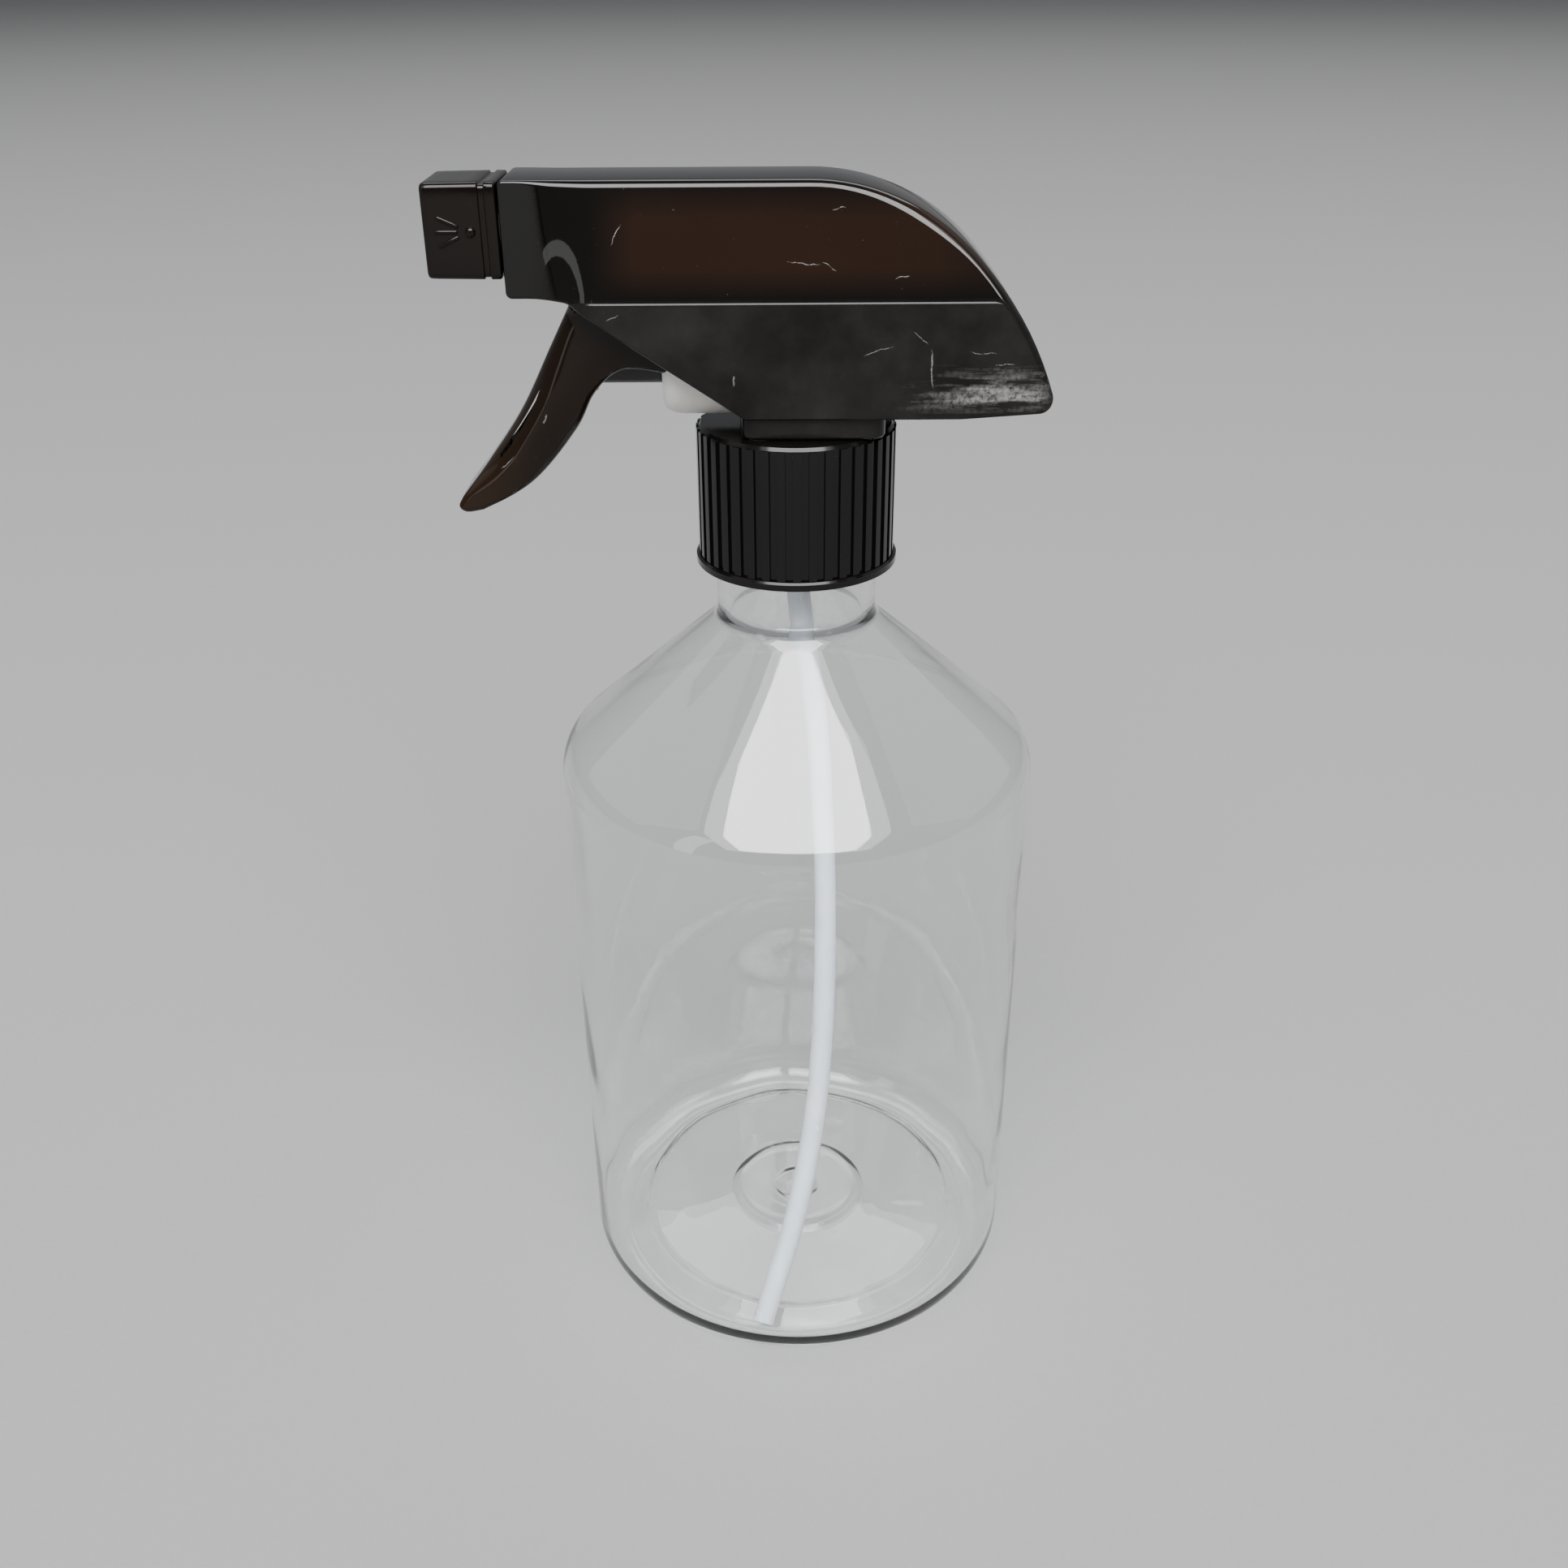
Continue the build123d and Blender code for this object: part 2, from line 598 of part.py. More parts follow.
# Shroud: hood over the pump, open underneath, with a collar over the closure
with BuildPart() as shroud:
    add(shroud_solid(0.0, False))
    add(shroud_solid(SHROUD_WALL, True), mode=Mode.SUBTRACT)
    with BuildSketch(Plane.XY.offset(CAP_TOP + 0.2)):
        with Locations((COLLAR_X, 0)):
            RectangleRounded(21.6, 22.8, 2.5)
            RectangleRounded(19.0, 20.2, 1.6, mode=Mode.SUBTRACT)
    extrude(amount=SIDE_BOTTOM + 1.6 - CAP_TOP)
    with BuildSketch(Plane.XY.offset(SIDE_BOTTOM + 0.2)):
        with Locations((COLLAR_X, 0)):
            RectangleRounded(21.6, 23.4, 2.5)
            RectangleRounded(19.0, 20.2, 1.6, mode=Mode.SUBTRACT)
    extrude(amount=COLLAR_WALL)
    with Locations((-12, 0, SIDE_BOTTOM)):
        Box(14, 2 * POST_R + 0.6, 12, mode=Mode.SUBTRACT)
    add(bar(-1.5, 1.5, 3.0, 1.3, COLUMN_TOP + 1.3))
    add(rod(SHROUD_FRONT - 1, SHROUD_FRONT + 3, BOSS_R + 0.3, SPOUT_Z), mode=Mode.SUBTRACT)
shroud.part.label = "shroud"
export_step(shroud.part, "parts/shroud.step")
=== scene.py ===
import math

import bmesh
import bpy
from mathutils import Matrix, Vector, noise
from mathutils.geometry import delaunay_2d_cdt


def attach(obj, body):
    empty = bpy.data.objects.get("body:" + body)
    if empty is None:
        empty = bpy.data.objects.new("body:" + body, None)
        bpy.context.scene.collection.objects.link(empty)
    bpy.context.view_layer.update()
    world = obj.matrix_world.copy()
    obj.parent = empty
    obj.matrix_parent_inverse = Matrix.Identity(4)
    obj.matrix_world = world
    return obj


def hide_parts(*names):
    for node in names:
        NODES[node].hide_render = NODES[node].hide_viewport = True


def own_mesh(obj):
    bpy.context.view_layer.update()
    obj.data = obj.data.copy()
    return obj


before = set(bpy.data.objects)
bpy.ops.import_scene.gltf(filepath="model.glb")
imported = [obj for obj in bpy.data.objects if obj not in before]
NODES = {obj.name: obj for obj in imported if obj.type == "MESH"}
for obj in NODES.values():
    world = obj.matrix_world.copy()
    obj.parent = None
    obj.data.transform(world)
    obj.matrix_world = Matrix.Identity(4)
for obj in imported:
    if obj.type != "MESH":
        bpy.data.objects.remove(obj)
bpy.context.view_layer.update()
MM = 0.001

# ---------------------------------------------------------------- camera and studio
CAMERA_AT = (-0.0022020, -0.2399783, 0.2297042)
CAMERA_DOWN = 28.9063  # degrees below the horizon
CAMERA_ROLL = -0.0058338
LENS = 36.15
SENSOR = 36.0

camera_data = bpy.data.cameras.new("camera")
camera_data.lens = LENS
camera_data.sensor_width = SENSOR
camera_data.clip_start = 0.01
camera_data.clip_end = 50.0
camera = bpy.data.objects.new("camera", camera_data)
bpy.context.scene.collection.objects.link(camera)
camera.matrix_world = (
    Matrix.Translation(CAMERA_AT)
    @ Matrix.Rotation(math.radians(90 - CAMERA_DOWN), 4, "X")
    @ Matrix.Rotation(CAMERA_ROLL, 4, "Z")
)
bpy.context.scene.camera = camera


LIGHTS_AIM = Vector((0, 0, 0.11))


def panel(name, azimuth, elevation, distance, width, height, power):
    """Soft rectangular light aimed at the object. Azimuth 0 is in front (-Y), positive towards +X."""
    data = bpy.data.lights.new(name, "AREA")
    data.shape = "RECTANGLE"
    data.size = width
    data.size_y = height
    data.energy = power
    light = bpy.data.objects.new(name, data)
    bpy.context.scene.collection.objects.link(light)
    a, e = math.radians(azimuth), math.radians(elevation)
    offset = Vector((math.sin(a) * math.cos(e), -math.cos(a) * math.cos(e), math.sin(e)))
    light.location = LIGHTS_AIM + offset * distance
    light.rotation_euler = (-offset).to_track_quat("-Z", "Y").to_euler()
    light.visible_camera = False


panel("key_edge", 0, 54, 3.05, 3.85, 2.50, 88.0)
panel("key_core", 0, 54, 3.0, 2.85, 2.15, 275.0)
panel("strip_left", -52, 20, 2.6, 0.45, 2.4, 7.0)
panel("fill_left", -105, 40, 4.0, 3.4, 3.0, 15.0)
panel("fill_right", 110, 36, 4.0, 3.4, 3.0, 13.0)
panel("rear", 175, 58, 4.0, 3.6, 1.6, 70.0)

world = bpy.data.worlds.new("studio")
bpy.context.scene.world = world
world.use_nodes = True
world.node_tree.nodes["Background"].inputs["Color"].default_value = (0.80, 0.82, 0.85, 1)
world.node_tree.nodes["Background"].inputs["Strength"].default_value = 0.30


# ---------------------------------------------------------------- node helpers
class Nodes:
    """Short way to build a node tree for one material."""

    def __init__(self, name):
        self.material = bpy.data.materials.new(name)
        self.material.use_nodes = True
        self.tree = self.material.node_tree
        self.tree.nodes.clear()
        self.out = self.tree.nodes.new("ShaderNodeOutputMaterial")
        self.place = self.tree.nodes.new("ShaderNodeTexCoord").outputs["Object"]

    def link(self, value, socket):
        if isinstance(value, bpy.types.NodeSocket):
            self.tree.links.new(value, socket)
        else:
            socket.default_value = value

    def stretch(self, scale=(1, 1, 1), turn=(0, 0, 0), shift=(0, 0, 0)):
        node = self.tree.nodes.new("ShaderNodeMapping")
        self.link(self.place, node.inputs["Vector"])
        node.inputs["Scale"].default_value = scale
        node.inputs["Rotation"].default_value = [math.radians(t) for t in turn]
        node.inputs["Location"].default_value = shift
        return node.outputs["Vector"]

    def noise(self, scale, detail=2.0, rough=0.5, where=None, distortion=0.0):
        node = self.tree.nodes.new("ShaderNodeTexNoise")
        self.link(where or self.place, node.inputs["Vector"])
        node.inputs["Scale"].default_value = scale
        node.inputs["Detail"].default_value = detail
        node.inputs["Roughness"].default_value = rough
        node.inputs["Distortion"].default_value = distortion
        return node.outputs["Fac"]

    def math(self, kind, a, b=0.0, clamp=False):
        node = self.tree.nodes.new("ShaderNodeMath")
        node.operation = kind
        node.use_clamp = clamp
        self.link(a, node.inputs[0])
        self.link(b, node.inputs[1])
        return node.outputs[0]

    def ramp(self, value, low, high, to_low=0.0, to_high=1.0):
        node = self.tree.nodes.new("ShaderNodeMapRange")
        node.clamp = True
        self.link(value, node.inputs["Value"])
        node.inputs["From Min"].default_value = low
        node.inputs["From Max"].default_value = high
        node.inputs["To Min"].default_value = to_low
        node.inputs["To Max"].default_value = to_high
        return node.outputs["Result"]

    def mix(self, factor, a, b):
        node = self.tree.nodes.new("ShaderNodeMix")
        node.data_type = "RGBA"
        self.link(factor, node.inputs[0])
        self.link(a, node.inputs[6])
        self.link(b, node.inputs[7])
        return node.outputs[2]

    def axis(self, which):
        node = self.tree.nodes.new("ShaderNodeSeparateXYZ")
        self.link(self.place, node.inputs[0])
        return node.outputs[which]

    def bump(self, height, distance, strength=1.0, before=None):
        node = self.tree.nodes.new("ShaderNodeBump")
        self.link(height, node.inputs["Height"])
        node.inputs["Distance"].default_value = distance
        node.inputs["Strength"].default_value = strength
        if before is not None:
            self.link(before, node.inputs["Normal"])
        return node.outputs["Normal"]

    def hairline(self, x, z, length, slant, width=0.00008, face=1):
        """Mask of one fine scratch on the near (1) or far (-1) face, in metres; slant is in degrees."""
        wander = self.tree.nodes.new("ShaderNodeMapping")
        self.link(self.place, wander.inputs["Vector"])
        wander.vector_type = "TEXTURE"
        wander.inputs["Location"].default_value = (x, 0, z)
        wander.inputs["Rotation"].default_value = (0, -math.radians(slant), 0)
        split = self.tree.nodes.new("ShaderNodeSeparateXYZ")
        self.link(wander.outputs[0], split.inputs[0])
        bend = self.math("MULTIPLY", self.math("SUBTRACT", self.noise(380, 2, 0.5), 0.5), 0.0016)
        across = self.math("ABSOLUTE", self.math("ADD", split.outputs["Z"], bend))
        along = self.math("ABSOLUTE", split.outputs["X"])
        line = self.math(
            "MULTIPLY", self.ramp(across, width * 0.3, width, 1.0, 0.0),
            self.ramp(along, length * 0.3, length * 0.5, 1.0, 0.0),
        )
        side = self.ramp(self.math("MULTIPLY", self.axis("Y"), face), 0.0, -0.001)
        return self.math("MULTIPLY", line, side)

    def hairlines(self, entries):
        total = None
        for entry in entries:
            one = self.hairline(*entry)
            total = one if total is None else self.math("MAXIMUM", total, one)
        return self.math("MULTIPLY", total, self.ramp(self.noise(2600, 2, 0.6), 0.30, 0.55))

    def principled(self, **values):
        node = self.tree.nodes.new("ShaderNodeBsdfPrincipled")
        for name, value in values.items():
            self.link(value, node.inputs[name.replace("_", " ")])
        return node.outputs["BSDF"]

    def finish(self, shader, lamp_share=None, lamp_tint=(1, 1, 1, 1)):
        """Connects the shader. With lamp_share, that much of a lamp's light passes straight through."""
        if lamp_share is not None:
            path = self.tree.nodes.new("ShaderNodeLightPath")
            clear = self.tree.nodes.new("ShaderNodeBsdfTransparent")
            clear.inputs["Color"].default_value = lamp_tint
            mixer = self.tree.nodes.new("ShaderNodeMixShader")
            share = self.math("MULTIPLY", path.outputs["Is Shadow Ray"], lamp_share)
            self.link(share, mixer.inputs[0])
            self.link(shader, mixer.inputs[1])
            self.link(clear.outputs[0], mixer.inputs[2])
            shader = mixer.outputs[0]
        self.link(shader, self.out.inputs["Surface"])
        return self.material


SCUFFED = (0.34, 0.33, 0.32, 1)


def black_plastic(name, dark, brown, smooth_skin, rough_skin, gloss,
                  scratches=(), scuff=None, depth=None, dull=None):
    """Black polypropylene: random brown tone, a painted brown glow where a mask is given, handled
    gloss, fine scratches.

    scuff, depth and dull are functions that make masks: rub marks, painted brown glow (light through
    thin plastic painted as colour) and lost gloss.
    """
    n = Nodes(name)
    cloud = n.ramp(n.noise(28, 2, 0.4), 0.25, 0.8)
    # depth mask: painted brown glow, light through the thin panel painted into the colour
    if depth is not None:
        cloud = n.math("MULTIPLY", depth(n), n.ramp(cloud, 0.0, 1.0, 0.55, 1.0))
    colour = n.mix(cloud, dark, brown)
    dust = n.ramp(n.noise(1300, 2, 0.6), 0.73, 0.79)
    marks = n.math("MULTIPLY", dust, 0.05)
    if scratches:
        lines = n.hairlines(scratches)
        marks = n.math("MAXIMUM", marks, n.math("MULTIPLY", lines, 0.36))
    if scuff is not None:
        marks = n.math("MAXIMUM", marks, scuff(n), clamp=True)
    colour = n.mix(marks, colour, SCUFFED)
    handled = n.ramp(n.noise(120, 4, 0.6), 0.3, 0.75, smooth_skin, rough_skin)
    roughness = n.math("ADD", handled, n.math("MULTIPLY", marks, 0.6), clamp=True)
    if dull is not None:
        faded = dull(n)
        roughness = n.math("ADD", roughness, faded, clamp=True)
        gloss = n.math("SUBTRACT", gloss, faded)
    skin = n.bump(n.noise(900, 2), 0.000006, 0.5)
    skin = n.bump(n.noise(50, 1), 0.00012, 0.4, skin)
    skin = n.bump(marks, 0.00001, 0.4, skin)
    shader = n.principled(
        Base_Color=colour, Roughness=roughness, Normal=skin, IOR=1.49, Specular_IOR_Level=gloss,
    )
    return n.finish(shader)


# Fine scratches: x and z of the middle, length, slant, then width and face if they aren't the
# usual ones, in metres and degrees
HOOD_SCRATCHES = (
    (-0.0255, 0.1905, 0.0032, 62), (0.0010, 0.1867, 0.0050, -6), (0.0046, 0.1862, 0.0024, -24),
    (0.0118, 0.1748, 0.0048, 20), (0.0195, 0.1722, 0.0060, 97, 0.00014), (0.0176, 0.1765, 0.0030, -40),
    (-0.0262, 0.1795, 0.0022, 25), (-0.0090, 0.1706, 0.0016, 84, 0.00022), (0.0060, 0.1935, 0.0020, 8),
    (0.0150, 0.1846, 0.0022, 12), (0.0268, 0.1745, 0.0040, -8), (0.0300, 0.1728, 0.0030, 4),
    (-0.0080, 0.1840, 0.0040, 12, 0.00012, -1), (0.0120, 0.1720, 0.0060, -18, 0.00012, -1),
    (0.0220, 0.1780, 0.0030, 40, 0.00012, -1), (-0.0180, 0.1890, 0.0028, -50, 0.00012, -1),
)
TRIGGER_SCRATCHES = (
    (-0.0375, 0.1640, 0.0016, 70, 0.00018), (-0.0440, 0.1570, 0.0030, 48),
    (-0.0350, 0.1700, 0.0024, 60, 0.0001, -1),
)


def rear_scuffs(n):
    """Whitish rub marks low on the hood's rear corner, and faint haze over the lower panel."""
    x, z = n.axis("X"), n.axis("Z")
    low = n.math("MULTIPLY", n.ramp(z, 0.1655, 0.1675), n.ramp(z, 0.1735, 0.1695))
    rear = n.math("MULTIPLY", n.ramp(x, 0.012, 0.026), n.ramp(x, 0.0375, 0.0350))
    streaks = n.noise(210, 5, 0.65, n.stretch((0.22, 1, 1.9), (0, -14, 0)))
    spots = n.noise(1300, 3, 0.7)
    rub = n.math("MULTIPLY", n.ramp(streaks, 0.47, 0.66), n.ramp(spots, 0.30, 0.60))
    rub = n.math("MULTIPLY", rub, n.math("MULTIPLY", low, rear))
    cloudy = n.ramp(n.noise(75, 4, 0.65), 0.35, 0.8)
    panel_haze = n.math("MULTIPLY", n.ramp(z, 0.1822, 0.1808), cloudy)
    return n.math("MAXIMUM", n.math("MULTIPLY", rub, 0.5), n.math("MULTIPLY", panel_haze, 0.03))


def hood_painted_glow(n):
    """Painted brown glow on the upper panel, light through the thin plastic painted as colour, fading
    out near its borders.
    """
    x, z = n.axis("X"), n.axis("Z")
    tall = n.math("MULTIPLY", n.ramp(z, 0.1822, 0.1860), n.ramp(z, 0.1972, 0.1925))
    long = n.math("MULTIPLY", n.ramp(x, -0.029, -0.023), n.ramp(x, 0.034, 0.020))
    return n.math("MULTIPLY", tall, long)


def hood_dull(n):
    """Extra roughness of the handled lower panel."""
    return n.ramp(n.axis("Z"), 0.1820, 0.1812, 0.0, 0.13)


# ---------------------------------------------------------------- materials
def clear_pet():
    n = Nodes("clear_pet")
    haze = n.noise(55, 4, 0.6)
    lines = n.hairlines((
        (0.0140, 0.1180, 0.0040, 78), (-0.0120, 0.0760, 0.0060, -24), (0.0210, 0.0520, 0.0050, 15),
        (0.0050, 0.0900, 0.0030, 50), (-0.0240, 0.0400, 0.0040, 70), (-0.0060, 0.0300, 0.0030, -60),
        (0.0160, 0.0700, 0.0040, 30, 0.0001, -1), (-0.0180, 0.0900, 0.0050, -45, 0.0001, -1),
    ))
    hazy = n.ramp(haze, 0.3, 0.75, 0.0, 0.035)
    roughness = n.math("ADD", hazy, n.math("MULTIPLY", lines, 0.15))
    ripple = n.bump(n.noise(30, 1, 0.4, n.stretch((1, 1, 0.5))), 0.0006, 0.14)
    ripple = n.bump(lines, 0.00001, 0.5, ripple)
    shader = n.principled(
        Base_Color=n.mix(haze, (0.985, 0.992, 0.990, 1), (0.965, 0.975, 0.975, 1)),
        Roughness=roughness, Normal=ripple, IOR=1.57, Transmission_Weight=1.0,
    )
    return n.finish(shader, 0.93, (0.93, 0.94, 0.94, 1))


def milky(name, colour, shade, rough, through, glow, lamp_share=None):
    n = Nodes(name)
    cloud = n.noise(120, 3, 0.6)
    grain = n.noise(1500, 2)
    roughness = n.ramp(n.noise(240, 3), 0.3, 0.7, rough * 0.8, rough * 1.25)
    skin = n.bump(cloud, 0.00008, 0.4, n.bump(grain, 0.00001, 0.4))
    shader = n.principled(
        Base_Color=n.mix(n.ramp(cloud, 0.3, 0.7), colour, shade),
        Roughness=roughness, Normal=skin, IOR=1.5,
        Transmission_Weight=through, Subsurface_Weight=glow, Subsurface_Scale=0.002,
    )
    return n.finish(shader, lamp_share)


def metal(name, colour, rough, across):
    n = Nodes(name)
    lines = n.noise(900, 2, 0.5, n.stretch(across))
    shader = n.principled(
        Base_Color=n.mix(n.noise(300, 2), colour, [c * 0.75 for c in colour[:3]] + [1]),
        Roughness=n.ramp(lines, 0.3, 0.7, rough * 0.7, rough * 1.4),
        Normal=n.bump(lines, 0.00001, 0.5), Metallic=1.0,
    )
    return n.finish(shader)


def soft_rubber():
    n = Nodes("seal_rubber")
    grain = n.noise(1800, 3, 0.6)
    shader = n.principled(
        Base_Color=n.mix(n.noise(200, 2), (0.035, 0.035, 0.036, 1), (0.07, 0.07, 0.068, 1)),
        Roughness=n.ramp(grain, 0.3, 0.7, 0.55, 0.8), Normal=n.bump(grain, 0.00002, 0.6),
    )
    return n.finish(shader)


def foam():
    n = Nodes("gasket_foam")
    cells = n.tree.nodes.new("ShaderNodeTexVoronoi")
    n.link(n.place, cells.inputs["Vector"])
    cells.inputs["Scale"].default_value = 2600
    shader = n.principled(
        Base_Color=n.mix(n.noise(300, 3), (0.86, 0.86, 0.84, 1), (0.74, 0.74, 0.71, 1)),
        Roughness=0.8, Normal=n.bump(cells.outputs["Distance"], 0.00004, 0.7),
    )
    return n.finish(shader)


LOOKS = {
    "closure": black_plastic(
        "closure_pp", (0.0015, 0.0015, 0.0015, 1), (0.003, 0.0026, 0.0024, 1), 0.09, 0.16, 0.25,
    ),
    "piston": black_plastic(
        "piston_pe", (0.004, 0.004, 0.004, 1), (0.007, 0.006, 0.006, 1), 0.30, 0.42, 0.35,
    ),
    "shroud": black_plastic(
        "shroud_pp", (0.0018, 0.0014, 0.0011, 1), (0.0115, 0.0052, 0.0028, 1), 0.03, 0.07, 0.34,
        HOOD_SCRATCHES, rear_scuffs, hood_painted_glow, hood_dull,
    ),
    "trigger": black_plastic(
        "trigger_pp", (0.0018, 0.0013, 0.0010, 1), (0.0105, 0.0052, 0.0023, 1), 0.05, 0.10, 0.20,
        TRIGGER_SCRATCHES,
    ),
    "nozzle": black_plastic(
        "nozzle_pp", (0.0016, 0.0012, 0.0009, 1), (0.006, 0.0034, 0.0021, 1), 0.06, 0.12, 0.21,
    ),
    "dip_tube": milky(
        "tube_pe", (0.64, 0.68, 0.73, 1), (0.55, 0.60, 0.66, 1), 0.22, 0.34, 0.25, 0.5,
    ),
    "gasket": foam(),
    "inlet_ball": metal("ball_steel", (0.74, 0.74, 0.76, 1), 0.06, (1, 1, 1)),
    "return_spring": metal("spring_steel", (0.60, 0.60, 0.62, 1), 0.28, (0.2, 1, 1)),
}
NATURAL = milky("natural_pp", (0.80, 0.79, 0.75, 1), (0.70, 0.69, 0.65, 1), 0.35, 0.12, 0.4)
for name in ("pump_body", "tube_retainer", "swirl_insert"):
    LOOKS[name] = NATURAL
RUBBER = soft_rubber()
for name in ("piston_seal", "outlet_valve"):
    LOOKS[name] = RUBBER
for name, look in LOOKS.items():
    mesh = NODES[name].data
    for index in range(max(1, len(mesh.materials))):
        if index < len(mesh.materials):
            mesh.materials[index] = look
        else:
            mesh.materials.append(look)

# ---------------------------------------------------------------- bottle, millimetres
BOTTLE_R, BODY_TOP, SHOULDER_R, SHOULDER_TURN = 39.9, 103.2, 6.5, 48.5
WALL, HEEL_R, RING_R, FLOOR = 0.7, 5.0, 33.4, 1.3
NECK_R, NECK_BORE_R, NECK_TOP = 12.85, 10.7, 155.8
ROOT_R, ROOT_Z = 12.6, 141.0
PITCH, CREST_R, THREAD_START, THREAD_TURNS = 25.4 / 6, 13.75, 145.4, 1.35
AROUND = 192
NECK_ROWS = 44
LADDER_Z, LADDER_PITCH, LADDER_DEPTH = 58, 7.5, 0.03
NIPPLE_R, NIPPLE_PITCH, NIPPLE_DEPTH = 9, 3.1, 0.26
BEAD_R, BEAD_HEIGHT = 30.6, 0.30


def outline(wall, neck_r, floor, foot_r):
    """Corners and fillet radii of the bottle's half section, moved inward by the wall."""
    lean = math.radians(SHOULDER_TURN)
    body_r = BOTTLE_R - wall
    corner_z = BODY_TOP + (SHOULDER_R - wall) * math.tan(lean / 2)
    cone_z = corner_z + (body_r - neck_r) / math.tan(lean)
    corners = [
        (0, floor + 3.4), (2.2, floor + 3.4), (4.4, floor + 4.8), (11.4, floor + 4.8),
        (13.0, floor + 3.8), (foot_r - 3.4, floor + 2.0), (foot_r, floor),
        (body_r, floor), (body_r, corner_z), (neck_r, cone_z), (neck_r, NECK_TOP),
    ]
    radii = [0.8, 0.8, 0.8, 0.8, 2.0, 1.2, HEEL_R - wall / 2, SHOULDER_R - wall, 2.4]
    return corners, radii


def rounded(corners, radii, step):
    """Points along the half section: arcs at the corners, even steps between them."""
    bends = []
    for before, at, after, radius in zip(corners, corners[1:], corners[2:], radii):
        if radius == 0:
            bends.append([Vector(at)])
            continue
        a = (Vector(before) - Vector(at)).normalized()
        b = (Vector(after) - Vector(at)).normalized()
        half = a.angle(b) / 2
        reach = radius / math.tan(half)
        centre = Vector(at) + (a + b).normalized() * radius / math.sin(half)
        start, end = Vector(at) + a * reach, Vector(at) + b * reach
        count = max(7, int(radius * (math.pi - 2 * half) / 0.35))
        first, last = start - centre, end - centre
        swing = first.angle_signed(last)
        arc = []
        for i in range(count + 1):
            t = -swing * i / count
            c, s = math.cos(t), math.sin(t)
            arc.append(centre + Vector((first.x * c - first.y * s, first.x * s + first.y * c)))
        bends.append(arc)
    path = [Vector(corners[0])]
    for arc in bends + [[Vector(corners[-1])]]:
        gap = arc[0] - path[-1]
        count = max(1, int(gap.length / step))
        path += [path[-1] + gap * i / count for i in range(1, count)]
        path += arc
    return path


def ripple(x, y, z, size, seed):
    """Smooth unevenness of blown plastic at one place, between -1 and 1."""
    return noise.noise(Vector((x / size + seed, y / size, z / (size * 1.6))))


def thread_height(z, turn):
    """How far the neck's thread stands out at this height and angle, in mm."""
    best = 0.0
    for lap in (0, 1):
        travel = turn / (2 * math.pi) + lap
        if travel <= THREAD_TURNS:
            away = abs(z - THREAD_START - PITCH * travel)
            edge = min(1.0, travel / 0.06, (THREAD_TURNS - travel) / 0.06)
            slope = min(1.0, max(0.0, (1.15 - away) / 0.6))
            best = max(best, edge * slope)
    return best * (CREST_R - ROOT_R)


def lathe_bottle():
    """The bottle turned about Z: outer skin, threaded neck and inner skin, each a little uneven."""
    outer = rounded(*outline(0.0, NECK_R, 0.0, RING_R), 1.1)
    inner = rounded(*outline(WALL, NECK_BORE_R, FLOOR, RING_R + 0.4), 1.3)
    body = [p for p in outer if p.y < ROOT_Z - 0.6]
    neck = [Vector((NECK_R, ROOT_Z - 0.25)), Vector((ROOT_R, ROOT_Z))]
    rise = NECK_TOP - 0.3 - ROOT_Z
    neck += [Vector((ROOT_R, ROOT_Z + rise * i / NECK_ROWS)) for i in range(1, NECK_ROWS + 1)]
    neck += [Vector((ROOT_R - 0.3, NECK_TOP)), Vector((NECK_BORE_R + 0.2, NECK_TOP))]
    neck += [Vector((NECK_BORE_R, NECK_TOP - 0.2))]
    skin = [p for p in inner if p.y < NECK_TOP - 0.6]
    profile = [("out", p) for p in body + neck] + [("in", p) for p in reversed(skin)]

    made = bmesh.new()
    rings = []
    for side, p in profile:
        if p.x < 0.01:
            rings.append([made.verts.new(Vector((0, 0, p.y)) * MM)])
            continue
        ring = []
        for i in range(AROUND):
            turn = 2 * math.pi * i / AROUND
            c, s = math.cos(turn), math.sin(turn)
            r, z = p.x, p.y
            calm = min(1.0, max(0.0, (132 - z) / 20)) * min(1.0, r / 12)
            if side == "out":
                r -= 0.035 * calm * (1 + ripple(r * c, r * s, z, 16, 3.1)) / 2
                if z > ROOT_Z:
                    r += thread_height(z, turn)
            else:
                r -= 0.16 * calm * (1 + ripple(r * c, r * s, z, 11, 8.4)) / 2
                rear = max(0.0, s) ** 14 * math.exp(-(((z - LADDER_Z) / 16) ** 2))
                r -= LADDER_DEPTH * rear * (1 + math.sin(2 * math.pi * z / LADDER_PITCH))
                if z < 8 and r < 32:
                    z += 0.12 * calm * ripple(r * c, r * s, z, 6, 5.7)
                    rings_here = NIPPLE_DEPTH * calm * math.sin(2 * math.pi * r / NIPPLE_PITCH)
                    z += rings_here * math.exp(-(((r - NIPPLE_R) / 5) ** 2))
                    z += BEAD_HEIGHT * math.exp(-(((r - BEAD_R) / 0.8) ** 2))
            ring.append(made.verts.new(Vector((r * c, r * s, z)) * MM))
        rings.append(ring)
    for below, above in zip(rings, rings[1:]):
        for i in range(AROUND):
            j = (i + 1) % AROUND
            if len(below) == 1:
                made.faces.new((below[0], above[j], above[i]))
            elif len(above) == 1:
                made.faces.new((below[i], below[j], above[0]))
            else:
                made.faces.new((below[i], below[j], above[j], above[i]))
    bmesh.ops.recalc_face_normals(made, faces=made.faces)
    for face in made.faces:
        face.smooth = True
    mesh = bpy.data.meshes.new("bottle_shell")
    made.to_mesh(mesh)
    made.free()
    piece = bpy.data.objects.new("bottle_shell", mesh)
    bpy.context.scene.collection.objects.link(piece)
    mesh.materials.append(clear_pet())
    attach(piece, "bottle")
    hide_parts("bottle")


lathe_bottle()

# ---------------------------------------------------------------- moulded shells, millimetres
def smooth(value, low, high):
    t = min(1.0, max(0.0, (value - low) / (high - low)))
    return t * t * (3 - 2 * t)


